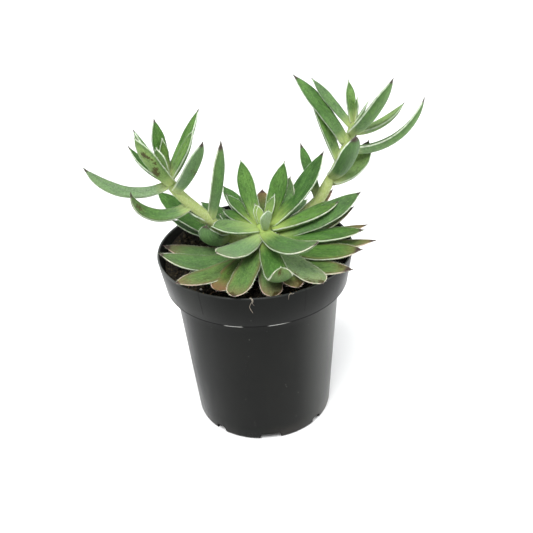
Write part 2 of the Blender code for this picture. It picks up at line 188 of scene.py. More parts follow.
ROSETTE = {
    "1": Leaf(246, -26, -4, 22, 30, 34, 11.5, -6, 3, 96.5, 3.5),
    "2": Leaf(254, 0, -8, 10, 10, 45, 10.5, 0, 4.2, 93, 4.5),
    "3": Leaf(274, 0, -8, 2, 0, 36, 10, 0, 6, 90, 4.5),
    "4": Leaf(277, 6, 0, -24, 160, 45, 10.5, 0, 6, 94.5, 4),
    "5": Leaf(299, 2, -8, 14, 0, 44, 11, 0, 5, 93, 4.5),
    "6": Leaf(289, 0, -2, 6, 0, 38, 10, 0, 4, 89, 4.5),
    "27": Leaf(-74, 30, 4, 20, 30, 47, 12, 6, 3, 97, 3.5),
    "7": Leaf(240, 0, -6, 8, 0, 38, 12, 0, 5, 89.5, 4.5),
    "8": Leaf(232, -22, -8, 24, 0, 48, 10.5, -8, 3, 89, 4.5),
    "9": Leaf(216, -28, -16, 56, 0, 49, 11, -12, 2.2, 89.5, 4.5),
    "10": Leaf(200, -28, -8, 34, 0, 43, 10.5, -8, 2.2, 88.5, 4.5),
    "11": Leaf(160, -6, 4, 10, 0, 43, 10.5, 0, 2.2, 88.5, 4.5),
    "13": Leaf(210, -8, 20, -2, 0, 24, 11, -10, 2.6, 98, 2.5),
    "38": Leaf(162, -2, 2, 44, 0, 52, 12, -12, 3, 91, 4.5),
    "39": Leaf(154, 0, 12, 14, 0, 45, 9, 0, 2, 89.5, 4.5),
    "18": Leaf(28, 4, 28, 30, 0, 43, 11.5, 0, 1.8, 97.5, 3.5),
    "20": Leaf(2, 10, 10, 16, 0, 35, 11, 0, 2.5, 97, 3.5),
    "21": Leaf(-2, 14, 14, 20, 0, 46, 11, 25, 2, 93, 4),
    "22": Leaf(2, 14, 10, 22, 0, 42, 9.5, 0, 2.2, 88, 4.5),
    "23": Leaf(-16, 14, 0, 12, 0, 43, 12, 0, 2.2, 93.5, 4),
    "24": Leaf(-2, 12, 4, 8, 0, 45, 9, 0, 2, 88.5, 4.5),
    "25": Leaf(-16, 14, -5, 18, 0, 48, 9, 0, 2, 89.5, 4.5),
    "26": Leaf(-36, 20, -2, 20, 0, 45, 12, 8, 2.4, 90, 4.5),
    "28": Leaf(-52, 22, -6, 24, 0, 47, 10.5, 6, 2.4, 88.5, 4.5),
    "29": Leaf(42, 0, 18, 4, 0, 46, 9, 0, 2.2, 84, 5),
    "15": Leaf(110, -14, 36, -12, 0, 39, 8.5, -30, 1.7, 97, 3.5),
    "16": Leaf(56, 4, 50, 4, 0, 31, 8.5, 40, 1.7, 97.5, 3.5),
    "17": Leaf(47, 4, 48, 8, 0, 29, 12, 10, 1.8, 92.5, 4),
    "19": Leaf(56, 0, 4, -10, 0, 38, 8, 0, 2, 94.5, 3.5),
    "30": Leaf(88, 0, 36, -6, 0, 28, 9, 0, 2.2, 89, 4.5),
    "31": Leaf(117, -2, 16, -4, 0, 39, 8, 0, 2.2, 93, 4),
    "32": Leaf(128, 0, 6, 2, 0, 45, 10, 0, 2.2, 88.5, 4.5),
    "33": Leaf(122, 0, 14, -4, 0, 29, 6, 0, 1.8, 97, 3.5),
    "34": Leaf(134, 0, 12, -12, 0, 23, 7.5, 0, 1.8, 96, 4),
    "35": Leaf(136, 0, 12, -10, 0, 25, 7.5, 0, 1.8, 93, 4),
    "40": Leaf(68, 0, 4, 4, 0, 39, 9.5, 0, 2.2, 89, 4.5),
    "41": Leaf(84, 0, 9, 2, 0, 33, 9.5, 0, 2.2, 91, 4.5),
    "42": Leaf(98, 0, 2, 6, 0, 40, 10, 0, 2.2, 89, 4.5),
    "36a": Leaf(116, 0, 76, -20, 0, 10, 4, 0, 1.7, 98.5, 2.5),
    "36b": Leaf(105, 0, 70, -12, 0, 9, 3.5, 0, 1.7, 99, 1.5),
    "36c": Leaf(300, 0, 82, -16, 0, 12, 6, 0, 1.7, 98, 2.5),
    "36d": Leaf(50, 0, 70, -24, 0, 15, 4.5, 0, 1.6, 98, 2.5),
}

# A flower stalk: its centre line from the crown to the tip, its radius at both ends,
# and its leaves with the share of the stalk's length that each one leaves it at.
Stalk = namedtuple("Stalk", "line foot_radius tip_radius leaves")
StalkLeaf = namedtuple("StalkLeaf", "turn swing rise lift curl length width roll blunt along")

STALKS = {
    "left_stalk": Stalk(
        line=[
            (2, -1.5, 90), (-4, 0, 91.5), (-7.5, 0.5, 92), (-11, 0, 94), (-14.5, -1.5, 98.5),
            (-18, -4, 104), (-24.5, -7, 113), (-30, -8.5, 120), (-33.5, -8.5, 125.5), (-35, -8.5, 130),
        ],
        foot_radius=2.7,
        tip_radius=2.2,
        leaves={
            "L1": StalkLeaf(194, -28, -26, 82, 0, 41, 5.5, -38, 2.2, 0.94),
            "L2": StalkLeaf(206, -14, -30, 102, 30, 34, 6.5, -30, 2.2, 0.71),
            "L3": StalkLeaf(160, 0, 20, 40, 0, 24, 4.5, 0, 2, 0.95),
            "L4": StalkLeaf(225, 0, 53, 12, 0, 31, 7.2, 25, 1.8, 0.93),
            "L4b": StalkLeaf(203, 0, 57, 14, 0, 29, 8, -10, 1.8, 0.96),
            "L5": StalkLeaf(133, 0, 72, 14, 0, 26, 6.8, 0, 1.7, 0.985),
            "L6": StalkLeaf(110, 0, 80, 14, 0, 17, 4, 0, 1.6, 1),
            "L7": StalkLeaf(240, 0, 66, 10, 0, 16, 5, 0, 2.4, 1),
            "L8": StalkLeaf(32, 0, 54, 4, 0, 32, 6.5, 0, 1.6, 0.985),
            "L9": StalkLeaf(350, 0, 56, 8, 0, 26, 5.8, 35, 2, 0.97),
            "L10": StalkLeaf(312, 0, 44, 16, 0, 36, 7.5, 0, 2, 0.87),
            "L11": StalkLeaf(10, 0, 72, 12, 0, 38, 6.5, -55, 2, 0.49),
            "L12": StalkLeaf(226, -10, -10, 90, 60, 19, 9.5, 35, 2.6, 0.27),
            "L13": StalkLeaf(200, 0, 30, 16, 0, 14, 5, 0, 2.2, 0.47),
        },
    ),
    "right_stalk": Stalk(
        line=[
            (6, 1.5, 89), (11, 4.5, 91), (16, 7.5, 92.5), (20, 9.5, 94), (25, 11.5, 98.5),
            (30.5, 13.5, 103), (34.5, 15, 109), (39.5, 16, 117.5), (44, 17.5, 127), (48, 19, 138.5),
        ],
        foot_radius=3.4,
        tip_radius=2.1,
        leaves={
            "R1": StalkLeaf(151, 0, 56, -14, 0, 40, 7, -28, 1.8, 0.85),
            "R2": StalkLeaf(150, 0, 46, 0, 0, 29, 4.4, -45, 1.9, 0.965),
            "R3": StalkLeaf(130, 0, 60, 0, 0, 37, 6.5, 0, 1.9, 0.73),
            "R4": StalkLeaf(120, 0, 78, 0, 0, 20, 5, 0, 1.8, 0.99),
            "R5": StalkLeaf(30, 0, 78, 6, 0, 12, 2.8, 0, 1.9, 1),
            "R6": StalkLeaf(350, 0, 54, 10, 0, 13, 2.6, 0, 1.9, 0.99),
            "R7": StalkLeaf(316, 0, 43, 20, 0, 37, 9.5, 0, 1.8, 0.93),
            "R8": StalkLeaf(4, 0, -2, 56, 0, 28, 6, 0, 1.9, 0.94),
            "R9": StalkLeaf(6, -14, -14, 92, 0, 46, 8, -25, 2, 0.83),
            "R10": StalkLeaf(304, 0, 42, 30, 0, 29, 11, 0, 2.2, 0.64),
            "R11": StalkLeaf(22, 0, -4, 84, 0, 28, 10, 20, 2.2, 0.6),
            "R12": StalkLeaf(110, 0, 42, 10, 0, 29, 5.5, 0, 2, 0.45),
        },
    ),
}

# How each leaf is coloured, from 0 to 1: olive with age, flushed red, deep green, frosted
# with hair or pale. tip is the size of its dark tip and margin the strength of its white
# edge. Leaves that aren't named are plain mid green.
Tone = namedtuple(
    "Tone", "age red dark frost tip pale margin", defaults=(0, 0, 0, 0, 0.6, 0, 1)
)
TONES = {
    "1": Tone(red=0.2, dark=0.2, frost=0.75, tip=0.3),
    "2": Tone(age=0.35, red=0.5, dark=0.15, frost=0.15, tip=0.3),
    "3": Tone(age=0.35, red=0.6, dark=0.25, frost=0.3, tip=0.3),
    "4": Tone(age=0.1, red=0.15, dark=0.5, tip=0),
    "5": Tone(age=0.2, red=0.35, frost=0.8, tip=0.3, pale=0.2),
    "6": Tone(age=0.5, red=0.6, dark=0.2, frost=0.1, tip=0.3),
    "27": Tone(red=0.15, dark=0.4, frost=0.1, tip=0.9),
    "7": Tone(age=0.6, red=0.9, tip=0.4),
    "8": Tone(age=0.5, red=0.6, dark=0.1, frost=0.2, tip=0.7),
    "9": Tone(age=0.1, red=0.2, dark=0.25, frost=0.3, tip=1.1),
    "10": Tone(age=0.3, red=0.6, dark=0.2, frost=0.3, tip=1.2),
    "11": Tone(dark=0.6),
    "13": Tone(age=0.1, dark=0.15, frost=0.4, tip=0, pale=0.25),
    "38": Tone(dark=0.3),
    "39": Tone(age=0.1, dark=0.5),
    "18": Tone(dark=0.8, tip=1),
    "20": Tone(red=0.1, tip=1, pale=0.12),
    "21": Tone(red=0.05, dark=0.55, frost=0.15, tip=0.9),
    "22": Tone(age=0.3, red=0.5, dark=0.3, tip=1.2),
    "23": Tone(red=0.15, dark=0.25, tip=1),
    "24": Tone(age=0.6, red=0.7, dark=0.1, tip=1),
    "25": Tone(age=0.5, red=0.6, dark=0.1, tip=1.2),
    "26": Tone(age=0.25, red=0.4, dark=0.2, tip=1.6),
    "28": Tone(age=0.45, red=0.5, dark=0.15, frost=0.1, tip=1.5),
    "29": Tone(age=0.8, red=0.8, dark=0.1, tip=1.2),
    "15": Tone(tip=0.3, pale=0.12),
    "16": Tone(tip=0.3, pale=0.08),
    "17": Tone(red=0.1, dark=0.75, frost=0.15, tip=0.4),
    "19": Tone(dark=0.8),
    "30": Tone(age=0.7, red=0.7, dark=0.1, tip=1),
    "31": Tone(dark=0.6),
    "32": Tone(age=0.2, dark=0.7),
    "33": Tone(pale=0.1),
    "34": Tone(dark=0.2),
    "35": Tone(dark=0.4),
    **dict.fromkeys(("40", "41", "42"), Tone(age=0.3, red=0.2, dark=0.4, tip=1)),
    **dict.fromkeys(("36a", "36b"), Tone(frost=0.2, tip=0.2, pale=0.2)),
    "36c": Tone(frost=1.7, tip=0.2),
    "36d": Tone(frost=0.2, tip=0.2, pale=0.15),
    "L1": Tone(red=0.1, dark=0.1, frost=0.8, tip=0.8, margin=0.4),
    "L2": Tone(age=0.1, red=0.15, dark=0.25, frost=0.15, tip=1, margin=0.5),
    "L4": Tone(age=0.5, frost=-0.3, tip=0.2, pale=0.75, margin=0.7),
    "L4b": Tone(dark=0.1, tip=0.5),
    "L5": Tone(tip=0.7, pale=0.05, margin=0.7),
    "L6": Tone(tip=0, pale=0.45),
    "L7": Tone(frost=0.1, tip=0, pale=0.45),
    "L8": Tone(pale=0.15),
    "L9": Tone(dark=0.1, frost=0.1, tip=0, pale=0.3),
    "L10": Tone(dark=0.6, frost=0.2, tip=1.2, margin=0.6),
    "L11": Tone(red=0.1, dark=0.3, tip=1.5, margin=0.8),
    "L12": Tone(dark=0.75, frost=0.15, tip=0.8),
    "L13": Tone(dark=0.3),
    "R1": Tone(dark=0.25, frost=0.1, tip=1.1, pale=0.04, margin=0.6),
    "R2": Tone(dark=0.3, frost=0.4, tip=0.3, pale=0.05, margin=0.6),
    "R3": Tone(pale=0.3, margin=0.7),
    "R4": Tone(frost=0.1, tip=0.2, pale=0.3, margin=0.6),
    **dict.fromkeys(("R5", "R6"), Tone(frost=0.3, tip=0.1, pale=0.3)),
    "R7": Tone(dark=0.1, frost=0, pale=0.1, tip=0.9, margin=0.8),
    "R8": Tone(age=0.1, frost=0.4, pale=0.8, tip=0.4, margin=0.4),
    "R9": Tone(dark=0.1, frost=0.1, pale=0.1, tip=0.9, margin=0.9),
    "R10": Tone(dark=0.9, frost=-0.2, tip=1.3, margin=1.1),
    "R11": Tone(age=0.15, frost=0.3, pale=0.55, tip=1.9, margin=0.8),
    "R12": Tone(dark=0.5, tip=1),
}

# Brown marks: share of the leaf's length, place across it from -1 to 1, upper side or
# under side, size in millimetres and strength
Mark = namedtuple("Mark", "leaf share across upper size strength")
MARKS = [
    Mark("1", 0.96, 0, 1, 1, 1.3),
    Mark("2", 0.96, -0.4, 1, 1.4, 1.6),
    Mark("2", 0.97, 0.5, 1, 0.9, 1.2),
    Mark("3", 0.96, 0.4, 1, 1.3, 1.6),
    Mark("27", 0.96, 0.5, 1, 1.3, 1.5),
    Mark("4", 0.94, -0.2, -1, 0.9, 1.2),
    Mark("5", 0.88, -0.7, 1, 2.6, 0.9),
    Mark("5", 0.96, 0, 1, 1.3, 1.7),
    Mark("5", 0.7, -0.9, 1, 2, 0.7),
    Mark("6", 0.85, 0.4, 1, 2, 0.8),
    Mark("6", 0.94, 0.6, 1, 1.2, 1.5),
    Mark("7", 0.6, 0.2, 1, 5, 0.6),
    Mark("8", 0.5, 0.3, 1, 3.5, 0.5),
    Mark("8", 0.72, 0.4, 1, 3.5, 0.5),
    Mark("28", 0.85, 0.6, 1, 2.5, 0.7),
    Mark("L2", 0.74, 0.1, 1, 2, 0.9),
    Mark("L4", 0.38, 0.1, -1, 1.4, 1.4),
    Mark("L4", 0.44, 0.4, -1, 1.1, 1.3),
    Mark("L4", 0.52, 0.7, -1, 0.7, 1.1),
    Mark("L4", 0.6, 0.7, -1, 0.6, 1),
    Mark("L4", 0.66, 0.5, -1, 0.8, 1.1),
    Mark("L4", 0.72, 0.2, -1, 1.2, 1.3),
    Mark("L10", 0.5, 0.1, -1, 1.2, 1),
    Mark("L10", 0.56, -0.4, -1, 0.9, 0.8),
]

# Hairs, for each millimetre of margin or square millimetre of skin
FRINGE_PER_MM = 5.0
DOWN_PER_SQUARE_MM = 1.5
STEM_HAIRS_PER_SQUARE_MM = 3.0

# One kind of hair: the share of a leaf's length that it grows on, how far it leans to
# the tip, how unruly it is, how deep it is rooted, its length and its width
Hair = namedtuple("Hair", "span lean unruly sunk length width")
FRINGE = Hair((0.03, 0.985), (0.1, 0.7), 0.22, 0.05, (0.4, 0.85), (0.05, 0.075))
DOWN = Hair((0.02, 0.99), (0.2, 1.0), 0.3, 0.04, (0.22, 0.48), (0.032, 0.045))
STEM_FUZZ = Hair(None, None, 0.3, 0.04, (0.45, 0.85), (0.04, 0.06))
# The skin's area for each square millimetre of length by width, and how much of the down
# grows on the upper side
SKIN_AREA = 1.55
UPPER_DOWN = 0.6

# Studio, in metres and watts
FLOOR_SIZE = 6
FLOOR_LEVEL = -0.0002
LIT_POINT = (0, 0, 0.09)
SOFTBOXES = (
    ("key_softbox", (-0.35, -0.9, 2.0), 1.2, 60.0),
    ("fill_softbox", (0.85, 0.05, 0.4), 0.7, 5.5),
)
CAMERA_SPOT = (0.0048, -0.318, 0.2681)
CAMERA_TILT = math.radians(59)
CAMERA_ROLL = math.radians(-3.4)
SENSOR_WIDTH = 36
FOCAL_PIXELS = 791
PICTURE_PIXELS = 533


# Modelling helpers


def deselect():
    bpy.ops.object.select_all(action="DESELECT")


def only(obj):
    """Selects one object and makes it active."""
    deselect()
    obj.select_set(True)
    bpy.context.view_layer.objects.active = obj


def edit():
    bpy.ops.object.mode_set(mode="EDIT")
    bpy.ops.mesh.select_all(action="SELECT")


def leave_edit():
    bpy.ops.object.mode_set(mode="OBJECT")


def link(obj):
    bpy.context.scene.collection.objects.link(obj)
    return obj


def apply_place(obj):
    only(obj)
    bpy.ops.object.transform_apply(location=True, rotation=True, scale=True)


def drawn_up(name, profile, steps, x=0.0):
    """A round shell: a circle drawn up ring by ring along a profile, with its ends closed."""
    deselect()
    radius, height = profile[0]
    bpy.ops.mesh.primitive_circle_add(
        vertices=steps, radius=radius * MM, location=(x * MM, 0, height * MM)
    )
    obj = bpy.context.object
    obj.name = name
    apply_place(obj)
    edit()
    for radius_to, height_to in profile[1:]:
        bpy.ops.mesh.extrude_region_move(
            TRANSFORM_OT_translate={"value": (0, 0, (height_to - height) * MM)}
        )
        bpy.ops.transform.resize(
            value=(radius_to / radius, radius_to / radius, 1),
            center_override=(x * MM, 0, height_to * MM),
        )
        radius, height = radius_to, height_to
    bpy.ops.mesh.select_all(action="DESELECT")
    bpy.ops.mesh.select_non_manifold()
    bpy.ops.mesh.fill_holes(sides=0)
    bpy.ops.mesh.select_all(action="SELECT")
    bpy.ops.mesh.normals_make_consistent(inside=False)
    leave_edit()
    return obj


def rod(name, route, radius, swelling, steps, roundness, merge):
    """A round rod along a curve through its route, as a mesh. Its radius is multiplied by
    the swelling at each point, and points closer than merge become one."""
    curve = bpy.data.curves.new(name, "CURVE")
    curve.dimensions = "3D"
    curve.resolution_u = steps
    curve.bevel_depth = radius * MM
    curve.bevel_resolution = roundness
    curve.use_fill_caps = True
    spline = curve.splines.new("BEZIER")
    spline.bezier_points.add(len(route) - 1)
    for spot, point, factor in zip(spline.bezier_points, route, swelling):
        spot.co = Vector(point) * MM
        spot.handle_left_type = "AUTO"
        spot.handle_right_type = "AUTO"
        spot.radius = factor
    only(link(bpy.data.objects.new(name, curve)))
    bpy.ops.object.convert(target="MESH")
    edit()
    bpy.ops.mesh.remove_doubles(threshold=merge * MM)
    bpy.ops.mesh.normals_make_consistent(inside=False)
    leave_edit()
    return bpy.context.object


def join(objects, name):
    """Makes one object of several."""
    only(objects[0])
    for obj in objects:
        obj.select_set(True)
    bpy.ops.object.join()
    made = bpy.context.object
    made.name = name
    made.data.name = name
    return made


def places(obj):
    """The object's points in millimetres."""
    points = np.empty(len(obj.data.vertices) * 3)
    obj.data.vertices.foreach_get("co", points)
    return points.reshape(-1, 3) / MM


def move_to(obj, points):
    obj.data.vertices.foreach_set("co", (np.asarray(points) * MM).ravel())
    obj.data.update()


def mark(obj, name, values):
    """Stores one number for each point, or three, or the same one for all."""
    values = np.asarray(values, float)
    if values.ndim == 0:
        values = np.full(len(obj.data.vertices), values)
    kind = "FLOAT" if values.ndim == 1 else "FLOAT_VECTOR"
    made = obj.data.attributes.get(name) or obj.data.attributes.new(name, kind, "POINT")
    made.data.foreach_set("value" if kind == "FLOAT" else "vector", values.ravel())


def mesh_object(name, points, faces):
    """A mesh object from points in millimetres and faces of one size."""
    mesh = bpy.data.meshes.new(name)
    mesh.vertices.add(len(points))
    mesh.vertices.foreach_set("co", (points * MM).ravel())
    size = faces.shape[1]
    mesh.loops.add(faces.size)
    mesh.loops.foreach_set("vertex_index", faces.ravel().astype(np.int32))
    mesh.polygons.add(len(faces))
    mesh.polygons.foreach_set("loop_start", np.arange(0, faces.size, size, dtype=np.int32))
    mesh.update(calc_edges=True)
    return link(bpy.data.objects.new(name, mesh))


def settle(obj, material, slot, *nodes):
    """Gives a finished piece its material and hides the CAD nodes that it stands for; its slot is not
    used.
    """
    obj.data.materials.clear()
    obj.data.materials.append(material)
    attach(obj, "root")
    if nodes:
        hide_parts(*nodes)


def rough(points, scale, seed):
    """Smooth noise from -1 to 1 at each point."""
    shift = Vector((seed * 7.1, seed * 3.3, seed * 5.7))
    return np.array([noise.noise(Vector(point) * scale + shift) for point in points])


# Material helpers


class Finish:
    """One material, made up of nodes."""

    def __init__(self, name):
        self.material = bpy.data.materials.new(name)
        self.material.use_nodes = True
        self.tree = self.material.node_tree
        self.shader = self.tree.nodes["Principled BSDF"]
        self.where = self.node("TexCoord").outputs["Object"]

    def node(self, kind, **settings):
        made = self.tree.nodes.new("ShaderNode" + kind)
        for name, value in settings.items():
            setattr(made, name, value)
        return made

    def put(self, socket, value):
        if isinstance(value, bpy.types.NodeSocket):
            self.tree.links.new(value, socket)
        elif isinstance(value, tuple) and len(value) == 3 and socket.type == "RGBA":
            socket.default_value = (*value, 1.0)
        else:
            socket.default_value = value

    def fill(self, node, *numbered, **named):
        """Links or sets a node's inputs, the first ones by number and others by name."""
        for i, value in enumerate(numbered):
            self.put(node.inputs[i], value)
        for name, value in named.items():
            self.put(node.inputs[name.replace("_", " ")], value)
        return node

    def own(self, name, output="Fac"):
        """A value stored on the piece's points."""
        return self.node("Attribute", attribute_name=name).outputs[output]

    def calc(self, operation, first, second=0.0):
        return self.fill(self.node("Math", operation=operation), first, second).outputs[0]

    def plus(self, first, second):
        return self.calc("ADD", first, second)

    def most(self, first, second):
        return self.calc("MAXIMUM", first, second)

    def times(self, first, *others):
        for other in others:
            first = self.calc("MULTIPLY", first, other)
        return first

    def fade(self, value, start, end, low=0.0, high=1.0):
        """Goes smoothly from low at start to high at end."""
        made = self.node("MapRange", interpolation_type="SMOOTHSTEP")
        self.fill(made, Value=value, From_Min=start, From_Max=end, To_Min=low, To_Max=high)
        return made.outputs["Result"]

    def between(self, value, start, full, wane, end):
        """1 from full to wane, and 0 before start and after end."""
        return self.times(self.fade(value, start, full), self.fade(value, end, wane))

    def mix(self, share, first, second, blend="MIX"):
        made = self.node("Mix", data_type="RGBA", blend_type=blend)
        self.put(made.inputs[0], share)
        self.put(made.inputs[6], first)
        self.put(made.inputs[7], second)
        return made.outputs[2]

    def coats(self, color, *coats):
        """Lays colours over the first one in turn, each by its share."""
        for share, over in coats:
            color = self.mix(share, color, over)
        return color

    def stretch(self, vector, factors):
        return self.fill(self.node("VectorMath", operation="MULTIPLY"), vector, factors).outputs[0]

    def split(self, vector):
        return self.fill(self.node("SeparateXYZ"), vector).outputs

    def noise(self, vector, scale, detail=2.0, roughness=0.5, distortion=0.0):
        made = self.fill(self.node("TexNoise"), Vector=vector, Scale=scale, Detail=detail)
        return self.fill(made, Roughness=roughness, Distortion=distortion).outputs["Fac"]

    def cells(self, vector, scale):
        return self.fill(self.node("TexVoronoi"), Vector=vector, Scale=scale).outputs["Distance"]

    def bump(self, height, distance, strength=1.0, under=None):
        made = self.fill(self.node("Bump"), Height=height, Distance=distance, Strength=strength)
        if under is not None:
            self.fill(made, Normal=under)
        return made.outputs["Normal"]

    def finish(self, color, roughness, normal=None, **settings):
        self.fill(self.shader, Base_Color=color, Roughness=roughness, **settings)
        if normal is not None:
            self.fill(self.shader, Normal=normal)
        return self.material


def mottled_finish(name, texture, shades, dullness, fade=(0.35, 0.65), relief=None, **settings):
    """Two shades mixed by a noise that also sets how dull the surface is."""
    made = Finish(name)
    shade = made.noise(made.where, *texture)
    return made.finish(
        made.mix(made.fade(shade, *fade), *shades),
        made.fade(shade, 0.3, 0.7, *dullness),
        made.bump(shade, *relief) if relief else None,
        **settings,
    )


# Leaf surface

MID_GREEN = (0.064, 0.170, 0.023)
OLIVE = (0.130, 0.145, 0.034)
DEEP_GREEN = (0.026, 0.080, 0.014)
BASE_GREEN = (0.290, 0.390, 0.095)
PALE_GREEN = (0.300, 0.430, 0.110)
PALE_STREAK = (0.125, 0.275, 0.055)
GREY_GREEN = (0.130, 0.215, 0.095)
SHADED = (0.4, 0.5, 0.35)
BLUSH = (0.190, 0.080, 0.048)
TIP_BROWN = (0.038, 0.017, 0.020)
MARK_BROWN = (0.040, 0.026, 0.004)
HAIR_WHITE = (0.640, 0.710, 0.560)
HAIR_PINK = (0.560, 0.410, 0.350)
FROST = (0.340, 0.430, 0.300)
STEM_GREEN = (0.350, 0.425, 0.140)
STEM_PALE = (0.450, 0.510, 0.240)


def leaf_finish(name):
    """Fleshy hairy leaf: streaked green, pale at its base and white along its margin."""
    leaf = Finish(name)
    own, fade, times, plus = leaf.own, leaf.fade, leaf.times, leaf.plus
    blade = own("blade", "Vector")
    edge, tip, base, red = own("edge_mm"), own("tip_mm"), own("base_mm"), own("red")
    streaks, fibrous, patches, mottle, fuzz = (
        leaf.noise(leaf.stretch(blade, factors), 1.0, detail, roughness)
        for factors, detail, roughness in (
            ((1.5, 0.1, 1.0), 3.0, 0.6),
            ((4.2, 0.14, 1.0), 2.0, 0.6),
            ((0.22, 0.1, 0.6), 3.0, 0.55),
            ((0.9, 0.45, 1.0), 4.0, 0.7),
            ((2.4, 1.3, 1.0), 2.0, 0.6),
        )
    )
    grain = leaf.noise(blade, 3.2, 2.0, 0.6)

    color = leaf.coats(
        MID_GREEN,
        (own("age"), OLIVE),
        (own("dark"), DEEP_GREEN),
        (own("pale"), PALE_GREEN),
        (fade(streaks, 0.45, 0.75, 0, 0.38), PALE_STREAK),
        (fade(fibrous, 0.5, 0.72, 0, 0.3), PALE_STREAK),
        (fade(fibrous, 0.48, 0.3, 0, 0.35), DEEP_GREEN),
        (fade(mottle, 0.52, 0.34, 0, 0.6), DEEP_GREEN),
        (fade(mottle, 0.5, 0.68, 0, 0.35), PALE_STREAK),
        (fade(fuzz, 0.5, 0.34, 0, 0.42), DEEP_GREEN),
        (fade(fuzz, 0.54, 0.74, 0, 0.35), PALE_STREAK),
        # Painted shade: a deeper green band just inside each margin
        (fade(edge, 1.9, 0.5, 0, 0.55), DEEP_GREEN),
    )
    color = leaf.mix(fade(patches, 0.35, 0.65, 0.6, 0), color, SHADED, "MULTIPLY")
    pale_reach = plus(times(streaks, 14.0), 8.0)
    flush = leaf.most(fade(edge, 3.0, 0.0), fade(tip, 13.0, 1.0))
    scar = leaf.calc("SUBTRACT", own("scar"), fade(fuzz, 0.3, 0.7, 0, 0.6))
    ragged = plus(edge, times(grain, -0.5))
    rim = times(fade(ragged, 0.34, 0.08, 0, 0.9), own("margin"), fade(mottle, 0.35, 0.55, 0.5, 1))
    tip_edge = plus(times(mottle, 1.2), own("tip_size"))
    brown = times(fade(tip, tip_edge, 0.0), fade(tip_edge, 1.0, 1.6))
    color = leaf.coats(
        color,
        (fade(base, pale_reach, 0.0, 0, 0.95), BASE_GREEN),
        (times(own("under"), 0.25), GREY_GREEN),
        (times(flush, fade(patches, 0.3, 0.6, 0.5, 1.0), red), BLUSH),
        (times(own("frost"), 0.45, fade(fuzz, 0.3, 0.7, 0.4, 1)), FROST),
        (fade(scar, 0, 0.6, 0, 0.9), MARK_BROWN),
        (own("stem"), leaf.mix(fade(streaks, 0.4, 0.7), STEM_GREEN, STEM_PALE)),
        (rim, leaf.mix(times(red, 1.8, fade(tip, 16.0, 4.0)), HAIR_WHITE, HAIR_PINK)),
        (fade(brown, 0.05, 0.5, 0, 0.9), TIP_BROWN),
    )
    pits = leaf.bump(grain, 0.0002, 0.35)
    return leaf.finish(
        color,
        fade(grain, 0.3, 0.7, 0.42, 0.6),
        leaf.bump(streaks, 0.0006, 0.5, pits),
        Subsurface_Weight=0.12,
        Subsurface_Radius=(0.4, 1.0, 0.25),
        Subsurface_Scale=0.002,
        Sheen_Weight=0.08,
        Sheen_Roughness=0.45,
        Sheen_Tint=(0.9, 1.0, 0.85),
        Specular_IOR_Level=0.2,
    )


# Leaves


def blade_line(leaf, root, seed):
    """Points along a leaf's middle line with the ways to its side and out of its upper
    face, and a slight growth wobble."""
    s = np.linspace(0, 1, PATH_STEPS + 1)
    wobble = np.sin(2 * math.pi * (s * 1.1 + seed * 0.37)) * s * (1 - s)
    turn = np.radians(leaf.turn + leaf.swing * s + WOBBLE * wobble)
    rise = np.radians(leaf.rise + leaf.lift * s + leaf.curl * s**5)
    along = np.stack(
        [np.cos(turn) * np.cos(rise), np.sin(turn) * np.cos(rise), np.sin(rise)], axis=1
    )
    steps = (along[1:] + along[:-1]) / 2 * leaf.length / PATH_STEPS
    points = np.vstack([[root], root + np.cumsum(steps, axis=0)])
    side = np.stack([-np.sin(turn), np.cos(turn), 0 * turn], axis=1)
    face = np.cross(along, side)
    roll = math.radians(leaf.roll)
    return (
        points,
        side * math.cos(roll) + face * math.sin(roll),
        face * math.cos(roll) - side * math.sin(roll),
    )


def breadth(s, base, widest, power, rounding):
    """A leaf's breadth at the share s of its length, as a share of its greatest."""
    low = base + (1 - base) * np.sin(math.pi / 2 * np.clip(s / widest, 0, 1)) ** 1.3
    past = np.clip((s - widest) / (1 - widest), 0, 1)
    return np.where(s < widest, low, (1 - past**power) ** rounding)


def tip_rounding(blunt):
    """The power that rounds a leaf's end, by how blunt the leaf is."""
    share = min(1.0, max(0.0, (blunt - POINTED_TO) / (ROUND_FROM - POINTED_TO)))
    return POINTED_END + (ROUND_END - POINTED_END) * share


def flesh_of(leaf):
    return STALK_FLESH if isinstance(leaf, StalkLeaf) else ROSETTE_FLESH


def body_and_spike(leaf, s):
    """Shares along the body alone, and the radius of the little spike that ends it."""
    body = np.clip(s * leaf.length / (leaf.length - 0.6 * SPIKE_LENGTH), 0, 1)
    spike = SPIKE_RADIUS * np.clip((1 - s) * leaf.length / SPIKE_LENGTH, 0, 1) ** 0.7
    return body, spike


def half_width(leaf, s):
    body, spike = body_and_spike(leaf, s)
    share = breadth(body, flesh_of(leaf).foot, WIDEST, leaf.blunt, tip_rounding(leaf.blunt))
    return np.maximum(share * leaf.width / 2, spike)


def half_depth(leaf, s):
    flesh = flesh_of(leaf)
    thick = min(flesh.least + flesh.rate * leaf.width, flesh.most * leaf.width)
    body, spike = body_and_spike(leaf, s)
    return np.maximum(thick * breadth(body, 0.8, 0.3, 2.0, 0.8), spike)


def blade_points(leaf, line, seed, s, angle):
    """Points of the leaf's skin at shares s of its length and angles round its section."""
    place = s * PATH_STEPS
    low = np.minimum(place.astype(int), PATH_STEPS - 1)
    t = (place - low)[:, None]
    middle, across, up = (a[low] * (1 - t) + a[low + 1] * t for a in line)
    u, v = np.cos(angle), np.sin(angle)
    half = half_width(leaf, s)
    waves = 1 + WAVES * np.sin(s * 23 + seed * 2.1 + u) * np.sin(s * math.pi)
    groove = GROOVE_DEPTH * np.exp(-((u / GROOVE_WIDTH) ** 2)) * np.clip(1.3 - s, 0, 1)
    thick = np.where(v > 0, UPPER_BULGE - groove * v, 1.0) * v * half_depth(leaf, s)
    lift = LEAF_CUP * half * u**2 + thick
    return middle + across * (u * half * waves)[:, None] + up * lift[:, None]


